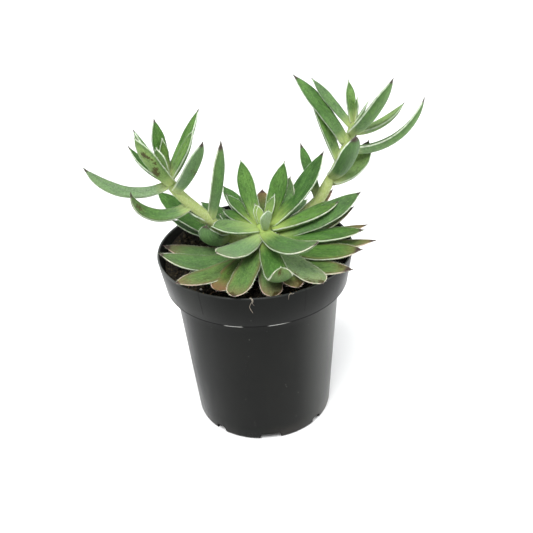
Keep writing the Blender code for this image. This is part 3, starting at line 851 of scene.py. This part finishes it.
def leaf_template():
    """The round skin that every leaf is shaped from: rings from its base to its tip."""
    deselect()
    bpy.ops.mesh.primitive_uv_sphere_add(
        segments=LEAF_SIDES, ring_count=LEAF_RINGS, radius=1, location=(0, 0, 0)
    )
    template = bpy.context.object
    template.name = "leaf_template"
    return template


def scars(key, leaf, s, u, v):
    """How brown each point is by the leaf's marks."""
    scar = np.zeros(len(s))
    for spot in MARKS:
        if spot.leaf == key:
            beside = (u - spot.across) * half_width(leaf, s)
            away = np.hypot((s - spot.share) * leaf.length / 1.6, beside)
            here = np.exp(-((away / spot.size) ** 2)) * (v * spot.upper > -0.2)
            scar = np.maximum(scar, spot.strength * here)
    return scar


def shaped_leaf(template, key, leaf, line, seed):
    """A copy of the template set to one leaf's shape, with what its material reads."""
    ball = places(template) * MM
    even = 1 - np.arccos(np.clip(ball[:, 2], -1, 1)) / math.pi
    s = 0.25 * even + 0.75 * np.sin(math.pi / 2 * even)
    angle = np.arctan2(ball[:, 1], ball[:, 0])
    pole = np.hypot(ball[:, 0], ball[:, 1]) < 1e-4
    made = template.copy()
    made.data = template.data.copy()
    made.name = "leaf_" + key
    link(made)
    points = blade_points(leaf, line, seed, s, angle)
    points[pole] = np.where(even[pole, None] < 0.5, line[0][0], line[0][-1])
    move_to(made, points)

    u, v = np.cos(angle), np.sin(angle)
    half = half_width(leaf, s)
    edge = np.hypot(half * (1 - np.abs(u)), half_depth(leaf, s) * v)
    from_root = s * leaf.length
    on_stalk = isinstance(leaf, StalkLeaf)
    tone = TONES.get(key, Tone())
    marks = {
        "blade": np.stack([u * half, from_root, seed * 13.7 + v], axis=1),
        "edge_mm": np.where(pole, 0.5, edge),
        "tip_mm": (1 - s) * leaf.length,
        "base_mm": from_root + 6 * on_stalk,
        "under": np.clip(0.5 - v, 0, 1),
        **tone._asdict(),
        "frost": tone.frost + on_stalk * 0.6 * np.clip(1 - s / 0.5, 0, 1),
        "tip_size": tone.tip * (3.2 + 0.8 * math.sin(seed * 1.7) ** 2),
        "stem": on_stalk * 0.9 * np.clip(1 - from_root / 7.0, 0, 1) ** 0.8,
        "scar": scars(key, leaf, s, u, v),
    }
    for name, values in marks.items():
        mark(made, name, values)
    return made


def plain_marks(obj, **own):
    """What the leaf material reads on a piece that is not a leaf."""
    marks = {"blade": places(obj), "edge_mm": 9, "tip_mm": 99, "base_mm": 99, "tip_size": 0}
    marks.update(dict.fromkeys(("under", "scar", *Tone._fields, "stem"), 0))
    for name, values in {**marks, **own}.items():
        mark(obj, name, values)


# Hairs


def hairs(name, lots, rng):
    """Lots of hairs as one mesh of thin closed spikes with three sides."""
    roots, ways, lengths, widths = (np.concatenate(lot) for lot in zip(*lots))
    count = len(roots)
    ways = ways / np.linalg.norm(ways, axis=1, keepdims=True)
    helper = rng.normal(size=(count, 3))
    first = np.cross(ways, helper)
    first /= np.linalg.norm(first, axis=1, keepdims=True)
    second = np.cross(ways, first)
    points = np.empty((count, 4, 3))
    for i in range(3):
        angle = 2 * math.pi * i / 3
        spread = first * math.cos(angle) + second * math.sin(angle)
        points[:, i] = roots + spread * widths[:, None] / 2
    points[:, 3] = roots + ways * lengths[:, None]
    shape = np.array([(0, 2, 1), (0, 1, 3), (1, 2, 3), (2, 0, 3)])
    faces = (np.arange(count) * 4)[:, None, None] + shape
    return mesh_object(name, points.reshape(-1, 3), faces.reshape(-1, 3))


def sprouting(kind, rng, roots, out, tipward=None):
    """Hairs of one kind: their roots, ways, lengths and widths."""
    count = len(roots)
    ways = out
    if kind.lean:
        ways = out + tipward * rng.uniform(*kind.lean, count)[:, None]
    return (
        roots - out * kind.sunk,
        ways + rng.normal(0, kind.unruly, (count, 3)),
        rng.uniform(*kind.length, count),
        rng.uniform(*kind.width, count),
    )


def skin(leaf, line, seed, s, angle):
    """Points of a leaf's skin with the way out of it and the way to its tip."""
    here = blade_points(leaf, line, seed, s, angle)
    step = 0.004
    forward = blade_points(leaf, line, seed, np.minimum(s + step, 1), angle)
    back = blade_points(leaf, line, seed, np.maximum(s - step, 0), angle)
    beside = blade_points(leaf, line, seed, s, angle + 0.02)
    tipward = forward - back
    tipward /= np.linalg.norm(tipward, axis=1, keepdims=True) + 1e-9
    out = np.cross(beside - here, tipward)
    out /= np.linalg.norm(out, axis=1, keepdims=True) + 1e-9
    return here, out, tipward


def leaf_hairs(key, leaf, line, seed, rng):
    """The fringe along a leaf's two margins and the down on its faces."""
    tone = TONES.get(key, Tone())
    count = int(leaf.length * FRINGE_PER_MM * 2 * tone.margin)
    s = rng.uniform(*FRINGE.span, count)
    s = np.minimum(s, 1 - 1.5 * tone.tip / leaf.length)
    sides = rng.integers(0, 2, count)
    spread = np.minimum(0.2, 0.14 / half_depth(leaf, s))
    angle = np.where(sides == 0, 0.0, math.pi) + rng.normal(0, 1, count) * spread
    fringe = sprouting(FRINGE, rng, *skin(leaf, line, seed, s, angle))

    area = SKIN_AREA * leaf.length * leaf.width
    count = int(area * DOWN_PER_SQUARE_MM)
    s = rng.uniform(*DOWN.span, count * 2)
    keep = rng.uniform(0, leaf.width / 2, count * 2) < half_width(leaf, s)
    s = s[keep][:count]
    across = rng.uniform(-1, 1, len(s))
    angle = np.arccos(across) * np.where(rng.uniform(size=len(s)) < UPPER_DOWN, 1, -1)
    return fringe, sprouting(DOWN, rng, *skin(leaf, line, seed, s, angle))


def grown(template, leaves, root_of, seed, rng):
    """The leaves of a rosette or stalk, with their fringes and their down."""
    pieces, fringe, down = [], [], []
    for i, (key, leaf) in enumerate(leaves.items(), seed):
        line = blade_line(leaf, root_of(leaf), i)
        pieces.append(shaped_leaf(template, key, leaf, line, i))
        edge_hairs, face_hairs = leaf_hairs(key, leaf, line, i, rng)
        fringe.append(edge_hairs)
        down.append(face_hairs)
    return pieces, fringe, down


def settle_growth(names, lots, finishes, rng, slot, node):
    """Makes three pieces of a stem with its leaves, their fringes and their down."""
    growth = join(lots[0], names[0])
    growth.data.shade_smooth()
    settle(growth, finishes[0], slot, node)
    for name, lot, finish in zip(names[1:], lots[1:], finishes[1:]):
        settle(hairs(name, lot, rng), finish, slot)


# Rosette


def crown_dome():
    """The short stem under the leaves, rounded at its top."""
    profile = [(CROWN_RADIUS * share, height) for share, height in CROWN_PROFILE]
    dome = drawn_up("crown_dome", profile, CROWN_STEPS, CROWN_X)
    dome.data.shade_smooth()
    plain_marks(dome, base_mm=1)
    return dome


def crown_root(leaf):
    turn = math.radians(leaf.turn)
    x = CROWN_X + leaf.reach * math.cos(turn)
    return np.array((x, leaf.reach * math.sin(turn), leaf.height))


def build_rosette(seed, template, finishes):
    rng = np.random.default_rng(seed)
    crown = crown_dome()
    pieces, fringe, down = grown(template, ROSETTE, crown_root, 0, rng)
    names = ("rosette_leaves", "rosette_fringe", "rosette_down")
    lots = ([crown, *pieces], fringe, down)
    settle_growth(names, lots, finishes, rng, "leaf", "rosette")


# Flower stalks


def stem_tube(name, stalk):
    """The stalk as a lumpy rod that thins and turns greener to its tip."""
    last = len(stalk.line) - 1
    thinning = stalk.tip_radius - stalk.foot_radius
    radii = [stalk.foot_radius + thinning * i / last for i in range(last + 1)]
    radii[last] *= 0.8
    tube = rod(name, stalk.line, 1.0, radii, steps=8, roundness=6, merge=0.01)
    normals = np.array([vert.normal for vert in tube.data.vertices])
    points = places(tube)
    move_to(tube, points + normals * (STEM_LUMPS * rough(points, 0.22, 3))[:, None])
    tube.data.shade_smooth()
    heights = points[:, 2]
    rise = (heights - heights.min()) / np.ptp(heights)
    greener = np.clip((rise - GREENER_FROM) / GREENER_OVER, 0, 1)
    plain_marks(tube, stem=1 - GREENER_BY * greener)
    return tube


def point_along(line, share):
    """The point at a share of the line's whole length."""
    points = [Vector(point) for point in line]
    spans = [(b - a).length for a, b in zip(points, points[1:])]
    left = share * sum(spans)
    for a, b, span in zip(points, points[1:], spans):
        if left <= span:
            return np.array(a.lerp(b, left / span))
        left -= span
    return np.array(points[-1])


def stem_hairs(tube, rng):
    """Fuzz all over the stalk, by the size of its faces."""
    tube.data.calc_loop_triangles()
    triangles = tube.data.loop_triangles
    points = places(tube)[np.array([triangle.vertices for triangle in triangles])]
    normals = np.array([triangle.normal for triangle in triangles])
    spans = np.cross(points[:, 1] - points[:, 0], points[:, 2] - points[:, 0])
    areas = np.linalg.norm(spans, axis=1) / 2
    count = int(areas.sum() * STEM_HAIRS_PER_SQUARE_MM)
    chosen = rng.choice(len(areas), count, p=areas / areas.sum())
    a, b = rng.uniform(size=(2, count))
    swap = a + b > 1
    a[swap], b[swap] = 1 - a[swap], 1 - b[swap]
    first, second, third = points[chosen].transpose(1, 0, 2)
    roots = first + (second - first) * a[:, None] + (third - first) * b[:, None]
    return sprouting(STEM_FUZZ, rng, roots, normals[chosen])


def build_stalk(name, seed, template, finishes):
    rng = np.random.default_rng(seed)
    stalk = STALKS[name]
    tube = stem_tube(name + "_stem", stalk)
    fuzz = stem_hairs(tube, rng)

    def stem_root(leaf):
        return point_along(stalk.line, leaf.along)

    pieces, fringe, down = grown(template, stalk.leaves, stem_root, seed, rng)
    names = (name + "_growth", name + "_hairs", name + "_down")
    lots = ([tube, *pieces], [fuzz, *fringe], down)
    settle_growth(names, lots, finishes, rng, "stalk", name)


# Pot

PLASTIC = (0.0018, 0.0023, 0.0018)
PLASTIC_PALER = (0.0036, 0.0040, 0.0032)
SMUDGE = (0.012, 0.013, 0.010)
# Painted light on the right of the body and the left of the band
PAINTED_LIGHT = (0.110, 0.113, 0.104)
DIRT = (0.06, 0.05, 0.04)
DUST = (0.25, 0.25, 0.22)
# Rim wear, with a painted reflection at the left and right sides
RIM_WEAR_AND_REFLECTION = (0.10, 0.105, 0.10)
# Painted shadow along the foot of the band
BAND_FOOT_SHADOW = (0.0006, 0.0006, 0.0006)
SEAM = (0.0008, 0.0008, 0.0008)
GLINT = (0.45, 0.45, 0.43)
SHADOW = (0.002, 0.002, 0.002)


def inner_radius(height):
    """The radius of the pot's inner wall at a height."""
    if height >= LEDGE:
        low, high = (LEDGE, LEDGE_OUT), (POT_HEIGHT, RIM_RADIUS - WALL)
    else:
        low, high = (0.0, BASE_RADIUS - WALL), (LEDGE, LEDGE_IN)
    share = (height - low[0]) / (high[0] - low[0])
    return low[1] + (high[1] - low[1]) * share


def pot_finish():
    """Charcoal moulded plastic, satin, with dust, smudges, a worn rim and painted light, shade and
    glints.
    """
    pot = Finish("pot_plastic")
    fade, times, between = pot.fade, pot.times, pot.between
    x, y, z = pot.split(pot.where)
    height = times(z, 1000.0)
    turn = pot.calc("ARCTAN2", y, x)
    cloud = pot.noise(pot.where, 38.0, 4.0, 0.6)
    smear = pot.noise(pot.stretch(pot.where, (60, 60, 14)), 1.0, 4.0, 0.65, 0.6)
    chosen = fade(pot.noise(pot.where, 130.0, 1.0), 0.58, 0.66)
    dust = times(fade(pot.cells(pot.where, 420.0), 0.10, 0.03), chosen, 0.55)
    # Painted light: a pale sheet on the right of the body below the band and on the left of the band
    painted_right_light = times(fade(x, 0.014, 0.038), fade(height, 73.0, 66.0), fade(smear, 0.3, 0.7, 0.75, 1.0))
    painted_band_light = times(fade(x, -0.010, -0.036), fade(height, 73.0, 76.0), 0.13)
    low_dirt = times(fade(height, 9.0, 0.0), fade(cloud, 0.4, 0.7), 0.4)
    # The rim is worn lighter all round; at its left and right sides the lighter colour is a painted
    # reflection
    side_reflection = fade(pot.calc("ABSOLUTE", x), 0.026, 0.040, 0.25, 1.0)
    rim = times(fade(height, 88.0, 88.6), fade(cloud, 0.35, 0.65, 0.5, 1.0), side_reflection)
    # Painted shadow: a black line along the foot of the band
    band_foot_shadow = between(height, 72.3, 72.45, 73.1, 73.3)
    seams = (between(turn, at - 0.010, at - 0.002, at + 0.002, at + 0.010) for at in SEAM_TURNS)
    seam = times(pot.most(*seams), fade(height, 75.5, 77.0), 0.6)
    glints = pot.most(*(between(turn, *turns) for turns in GLINT_TURNS))
    glint = times(between(height, 72.35, 72.5, 72.9, 73.1), glints, fade(smear, 0.3, 0.5))
    shadow = between(height, 69.9, 71.0, 72.3, 72.4)
    color = pot.coats(
        PLASTIC,
        (fade(cloud, 0.3, 0.7), PLASTIC_PALER),
        (fade(smear, 0.55, 0.8, 0, 0.35), SMUDGE),
        (times(painted_right_light, 0.5), PAINTED_LIGHT),
        (painted_band_light, PAINTED_LIGHT),
        (low_dirt, DIRT),
        (dust, DUST),
        (rim, RIM_WEAR_AND_REFLECTION),
        (band_foot_shadow, BAND_FOOT_SHADOW),
        (seam, SEAM),
        (glint, GLINT),
        (shadow, SHADOW),
    )
    dull = times(pot.most(pot.most(shadow, band_foot_shadow), seam), 0.95)
    roughness = pot.most(fade(smear, 0.3, 0.75, 0.27, 0.42), dull)
    grain = pot.bump(pot.noise(pot.where, 2600.0, 2.0, 0.6), 0.00006, 0.5)
    waves = pot.bump(pot.noise(pot.where, 22.0, 1.0), 0.0016, 0.35, grain)
    return pot.finish(color, roughness, waves, Specular_IOR_Level=0.125)


def cut_notch(pot, turn, width):
    """Cuts one drain notch with rounded corners into the pot's foot."""
    away = BASE_RADIUS * MM
    bpy.ops.mesh.primitive_cube_add(
        size=1,
        location=(away * math.cos(turn), away * math.sin(turn), 0),
        rotation=(0, 0, turn),
        scale=(NOTCH_DEPTH * MM, width * MM, 2 * NOTCH_HEIGHT * MM),
    )
    notch = bpy.context.object
    apply_place(notch)
    edit()
    bpy.ops.mesh.bevel(offset=NOTCH_CORNER * MM, segments=4)
    leave_edit()
    only(pot)
    cut = pot.modifiers.new("notch", "BOOLEAN")
    cut.operation = "DIFFERENCE"
    cut.object = notch
    cut.solver = "EXACT"
    bpy.ops.object.modifier_apply(modifier=cut.name)
    bpy.data.objects.remove(notch, do_unlink=True)


def build_pot():
    """The pot: its section from the inside over the rim and down the outside."""
    inside = [(31.5, 1.2), (32.1, 1.7), (37.5, 72.9), (37.9, 73.4), (41.2, 73.55), (41.55, 73.9)]
    rim = [(43.95, 88.2), (44.06, 88.55), (44.3, 88.78), (44.5, POT_HEIGHT)]
    rim += [(44.72, 88.76), (44.92, 88.58), (RIM_RADIUS, 88.3)]
    band = [(42.62, 72.95), (42.5, 72.66), (42.2, BAND_FOOT), (39.1, BAND_FOOT), (38.75, 72.4)]
    body = [
        (38.55 + (33.25 - 38.55) * t, 71.9 + (1.3 - 71.9) * t) for t in np.linspace(0, 1, 13)
    ]
    foot = [(33.1, 0.6), (32.8, 0.15), (32.3, 0.0)]
    pot = drawn_up("pot_shell", inside + rim + band + body + foot, POT_STEPS)
    deselect()
    for i in range(NOTCH_COUNT):
        turn = math.radians(FRONT_NOTCH_TURN + i * 360 / NOTCH_COUNT)
        cut_notch(pot, turn, NARROW_NOTCH if i % 2 else WIDE_NOTCH)
    # The thin wall is a little out of round, most at the rim
    points = places(pot)
    turn = np.arctan2(points[:, 1], points[:, 0])
    loose = np.clip(points[:, 2] / POT_HEIGHT, 0, 1) ** 2
    swell = 1 + loose * (0.0022 * np.sin(2 * turn + 0.8) + 0.0012 * np.sin(3 * turn + 2))
    move_to(pot, points * np.stack([swell, swell, np.ones_like(swell)], axis=1))
    only(pot)
    bpy.ops.object.shade_smooth_by_angle(angle=POT_SMOOTH_TO)
    settle(pot, pot_finish(), "pot_plastic", "pot")


# Soil

WET_SOIL = (0.003, 0.0025, 0.0015)
DAMP_SOIL = (0.016, 0.013, 0.007)
CRUMB_BROWN = (0.066, 0.050, 0.024)
SPECK_BROWN = (0.105, 0.078, 0.042)


def wall_heap(x, y):
    """How far the soil is heaped up against the pot's wall."""
    away = math.hypot(x, y)
    facing = (x * math.cos(HEAP_TURN) + y * math.sin(HEAP_TURN)) / max(away, 0.1)
    share = min(1.0, max(0.0, (away - HEAP_START) / HEAP_RUN))
    return HEAP_HEIGHT * share**2 * math.exp(-2 * (1 - facing) / HEAP_SPREAD**2)


def soil_height(x, y):
    """The height of the soil's surface, with its dips and heaps."""
    dish = SOIL_MIDDLE - SOIL_DISH * (math.hypot(x, y) / SOIL_REACH) ** 2
    spot = Vector((x, y, 0))
    heap = 0.9 * noise.noise(spot * 0.11) + 0.5 * noise.noise(spot * 0.31 + Vector((9, 4, 2)))
    return dish + heap + wall_heap(x, y)


def soil_finish():
    """Dark damp potting soil."""
    soil = Finish("soil")
    coarse = soil.noise(soil.where, 330.0, 4.0, 0.65)
    fine = soil.noise(soil.where, 1500.0, 3.0, 0.6)
    color = soil.coats(
        WET_SOIL,
        (soil.fade(coarse, 0.35, 0.7), DAMP_SOIL),
        (soil.fade(soil.own("tone"), 0.55, 1.0, 0, 0.8), CRUMB_BROWN),
        (soil.fade(fine, 0.53, 0.68, 0, 0.85), SPECK_BROWN),
    )
    bumps = soil.bump(coarse, 0.0009, 0.8, soil.bump(fine, 0.0003, 0.6))
    return soil.finish(color, soil.fade(fine, 0.3, 0.7, 0.75, 0.98), bumps, Specular_IOR_Level=0.25)


def crumb_templates(rng):
    """Three lumps of soil, each from a ball knocked out of round."""
    made = []
    for i in range(3):
        deselect()
        bpy.ops.mesh.primitive_ico_sphere_add(subdivisions=2, radius=1, location=(0, 0, 0))
        lump = bpy.context.object
        points = places(lump) * MM
        push = 1 + 0.45 * rough(points, 1.3, i + 1) + rng.normal(0, 0.05, len(points))
        shape = points * push[:, None] * (1, 0.8 - 0.1 * i, 0.65)
        faces = np.array([face.vertices for face in lump.data.polygons])
        made.append((shape, faces))
        bpy.data.objects.remove(lump, do_unlink=True)
    return made


def strewn(name, templates, spots, sizes, tones, rng):
    """Copies of the templates, turned at random, at the spots, as one mesh."""
    points, faces, values, start = [], [], [], 0
    for spot, size, tone in zip(spots, sizes, tones):
        shape, corners = templates[rng.integers(len(templates))]
        turned = Matrix.Rotation(rng.uniform(0, 2 * math.pi), 3, "Z")
        tipped = Matrix.Rotation(rng.uniform(-0.7, 0.7), 3, "X")
        spin = np.array(turned @ tipped)
        points.append(shape @ spin.T * size + spot)
        faces.append(corners + start)
        values.append(np.full(len(shape), tone))
        start += len(shape)
    made = mesh_object(name, np.concatenate(points), np.concatenate(faces))
    mark(made, "tone", np.concatenate(values))
    return made


def fibres(name, spots, ways, lengths, rng):
    """Short bent threads with three sides, as one closed mesh."""
    points, faces, start = [], [], 0
    for spot, way, length in zip(spots, ways, lengths):
        way = np.asarray(way) / np.linalg.norm(way)
        side = np.cross(way, (0, 0, 1.0))
        side /= np.linalg.norm(side) + 1e-9
        up = np.cross(side, way)
        bend = rng.normal(0, FIBRE_SAG, 2)
        last = FIBRE_STEPS - 1
        for i in range(FIBRE_STEPS):
            t = i / last
            middle = spot + way * length * (t - 0.5)
            middle = middle + (side * bend[0] + up * bend[1]) * length * math.sin(math.pi * t)
            radius = FIBRE_RADIUS * (0.35 if i in (0, last) else 1.0)
            for j in range(3):
                angle = 2 * math.pi * j / 3
                points.append(middle + (side * math.cos(angle) + up * math.sin(angle)) * radius)
        for i in range(last):
            for j in range(3):
                a, b = start + i * 3 + j, start + i * 3 + (j + 1) % 3
                faces += [(a, b, b + 3), (a, b + 3, a + 3)]
        end = start + last * 3
        faces += [(start, start + 2, start + 1), (end, end + 1, end + 2)]
        start += FIBRE_STEPS * 3
    made = mesh_object(name, np.array(points), np.array(faces))
    only(made)
    edit()
    bpy.ops.mesh.normals_make_consistent(inside=False)
    leave_edit()
    return made


def around(away, turn):
    """Places at distances from the middle, each at its turn."""
    return np.stack([away * np.cos(turn), away * np.sin(turn), 0 * away], axis=1)


def spread(count, reach, rng, least=0.0):
    """Places spread evenly over a round bed, but for the least share in its middle."""
    away = reach * np.sqrt(rng.uniform(least, 1, count))
    return around(away, rng.uniform(0, 2 * math.pi, count))


def on_soil(spots, above):
    """Puts each place on the soil, a little above its surface."""
    spots[:, 2] = [soil_height(x, y) for x, y, _ in spots]
    spots[:, 2] += above
    return spots


def build_bed(earth):
    """The soil that fills the pot, with its uneven top."""
    outline = [
        (inner_radius(SOIL_FOOT) - GAP, SOIL_FOOT),
        (LEDGE_IN - GAP, SOIL_STEP),
        (inner_radius(SOIL_STEP) - GAP, SOIL_STEP),
        (inner_radius(SOIL_EDGE) - GAP, SOIL_EDGE),
    ]
    outline += [(radius, SOIL_EDGE) for radius in TOP_RINGS]
    bed = drawn_up("soil_bed", outline, BED_STEPS)
    points = places(bed)
    for point in points:
        x, y, z = point
        if z > SOIL_EDGE - 0.01:
            blend = min(1.0, max(0.0, (LOOSE_REACH - math.hypot(x, y)) / EDGE_BLEND))
            heap = wall_heap(x, y)
            point[2] += (soil_height(x, y) - heap - z) * blend + heap
    move_to(bed, points)
    bed.data.shade_smooth()
    mark(bed, "tone", 0.2)
    settle(bed, earth, "soil", "soil")


def build_crumbs(templates, earth, rng):
    """Crumbs all over the soil, more on the heap, and single ones at the front."""
    spots = spread(CRUMBS, CRUMB_REACH, rng)
    sizes = 0.35 + 1.25 * rng.uniform(0, 1, CRUMBS) ** 3
    on_soil(spots, sizes * 0.25)
    keep = np.hypot(spots[:, 0], spots[:, 1]) + sizes < LOOSE_REACH
    tones = rng.uniform(0, 1, CRUMBS)
    away = rng.uniform(*HEAP_CRUMBS_BETWEEN, HEAP_CRUMBS)
    turn = HEAP_TURN + rng.normal(0, HEAP_CRUMBS_SPREAD, HEAP_CRUMBS)
    heaped = on_soil(around(away, turn), 0.15)
    heaped_sizes = rng.uniform(0.3, 0.75, HEAP_CRUMBS)
    heaped_tones = rng.uniform(0.3, 0.9, HEAP_CRUMBS)
    placed = np.array(PLACED_CRUMBS)
    crumbs = strewn(
        "soil_crumbs",
        templates,
        np.concatenate([spots[keep], heaped, placed[:, :3]]),
        np.concatenate([sizes[keep], heaped_sizes, placed[:, 3]]),
        np.concatenate([tones[keep], heaped_tones, np.ones(len(placed))]),
        rng,
    )
    settle(crumbs, earth, "soil")


def build_fibres(rng):
    """Short brown fibres that lie on the soil."""
    spots = on_soil(spread(FIBRES, FIBRE_REACH, rng, least=0.1), 0.6)
    ways = np.stack([rng.normal(0, scatter, FIBRES) for scatter in (1, 1, 0.15)], axis=1)
    straw = fibres("soil_fibres", spots, ways, rng.uniform(*FIBRE_LENGTHS, FIBRES), rng)
    shades = ((0.09, 0.045, 0.022), (0.30, 0.18, 0.09))
    finish = mottled_finish("straw", (260.0, 2.0), shades, (0.6, 0.85), (0.3, 0.7))
    settle(straw, finish, "soil")


def build_grains(templates, rng):
    """Pale porous grains among the crumbs."""
    spots = spread(GRAINS, GRAIN_REACH, rng, least=0.25)
    spots[0, :2] = LEFT_GRAIN
    on_soil(spots, 0.5)
    sizes = rng.uniform(*GRAIN_SIZES, GRAINS)
    grains = strewn("perlite_grains", templates, spots, sizes, np.ones(GRAINS), rng)
    shades = ((0.38, 0.35, 0.30), (0.75, 0.73, 0.68))
    relief = (0.0003, 0.7)
    stone = mottled_finish("perlite", (1400.0, 3.0, 0.6), shades, (0.8, 0.95), relief=relief)
    settle(grains, stone, "soil")


def build_soil(seed):
    rng = np.random.default_rng(seed)
    earth = soil_finish()
    build_bed(earth)
    templates = crumb_templates(rng)
    build_crumbs(templates, earth, rng)
    build_fibres(rng)
    build_grains(templates, rng)


def build_roots():
    """The fine roots over the rim, as one piece."""
    strands = []
    for name, (radius, route) in ROOTS.items():
        even = [1.0] * len(route)
        strand = rod(name, route, radius, even, steps=6, roundness=1, merge=0.002)
        strand.data.shade_smooth()
        strands.append(strand)
    shades = ((0.16, 0.13, 0.10), (0.42, 0.37, 0.30))
    dry = mottled_finish("dry_root", (420.0, 2.0), shades, (0.6, 0.8))
    settle(join(strands, "root_threads"), dry, "soil")


# Studio


def build_floor():
    """Pale paper that the pot stands on."""
    deselect()
    bpy.ops.mesh.primitive_plane_add(size=FLOOR_SIZE, location=(0, 0, FLOOR_LEVEL))
    floor = bpy.context.object
    floor.name = "floor"
    apply_place(floor)
    paper = Finish("floor_paper")
    mottle = paper.noise(paper.where, 3.0, 1.0)
    color = paper.mix(paper.fade(mottle, 0.3, 0.7), (0.90, 0.90, 0.90), (0.92, 0.92, 0.92))
    floor.data.materials.append(paper.finish(color, 0.9, Specular_IOR_Level=0.1))


def build_light():
    """An even room, brighter above, with a large softbox over the front and a small one."""
    world = bpy.data.worlds.new("studio")
    bpy.context.scene.world = world
    world.use_nodes = True
    tree = world.node_tree
    coordinates = tree.nodes.new("ShaderNodeTexCoord")
    split = tree.nodes.new("ShaderNodeSeparateXYZ")
    ramp = tree.nodes.new("ShaderNodeMapRange")
    limits = {"From Min": -0.1, "From Max": 1.0, "To Min": 0.55, "To Max": 0.82}
    for name, value in limits.items():
        ramp.inputs[name].default_value = value
    tree.links.new(coordinates.outputs["Generated"], split.inputs[0])
    tree.links.new(split.outputs[2], ramp.inputs["Value"])
    tree.links.new(ramp.outputs["Result"], tree.nodes["Background"].inputs["Strength"])
    tree.nodes["Background"].inputs["Color"].default_value = (0.97, 0.99, 1.0, 1)

    for name, spot, size, power in SOFTBOXES:
        lamp = bpy.data.lights.new(name, "AREA")
        lamp.size = size
        lamp.energy = power
        softbox = link(bpy.data.objects.new(name, lamp))
        softbox.location = spot
        toward = Vector(LIT_POINT) - Vector(spot)
        softbox.rotation_euler = toward.to_track_quat("-Z", "Y").to_euler()


def build_camera():
    lens = bpy.data.cameras.new("camera")
    lens.sensor_width = SENSOR_WIDTH
    lens.lens = FOCAL_PIXELS / PICTURE_PIXELS * SENSOR_WIDTH
    lens.clip_start = 0.01
    camera = link(bpy.data.objects.new("camera", lens))
    aim = Matrix.Rotation(CAMERA_TILT, 4, "X") @ Matrix.Rotation(CAMERA_ROLL, 4, "Z")
    camera.matrix_world = Matrix.Translation(CAMERA_SPOT) @ aim
    bpy.context.scene.camera = camera


def main():
    build_camera()
    template = leaf_template()
    hair_shades = ((0.62, 0.69, 0.52), (0.45, 0.53, 0.34))
    down_shades = ((0.42, 0.52, 0.28), (0.30, 0.40, 0.18))
    hair, down = (
        mottled_finish(name, (160.0, 2.0), shades, (0.5, 0.7), Specular_IOR_Level=0.3)
        for name, shades in (("plant_hair", hair_shades), ("plant_down", down_shades))
    )
    build_rosette(11, template, (leaf_finish("leaf"), hair, down))
    stalk_finishes = (leaf_finish("stalk"), hair, down)
    build_stalk("left_stalk", 60, template, stalk_finishes)
    build_stalk("right_stalk", 80, template, stalk_finishes)
    bpy.data.objects.remove(template, do_unlink=True)
    build_pot()
    build_soil(5)
    build_roots()
    build_floor()
    build_light()
    bpy.context.scene.view_settings.view_transform = "Standard"


main()
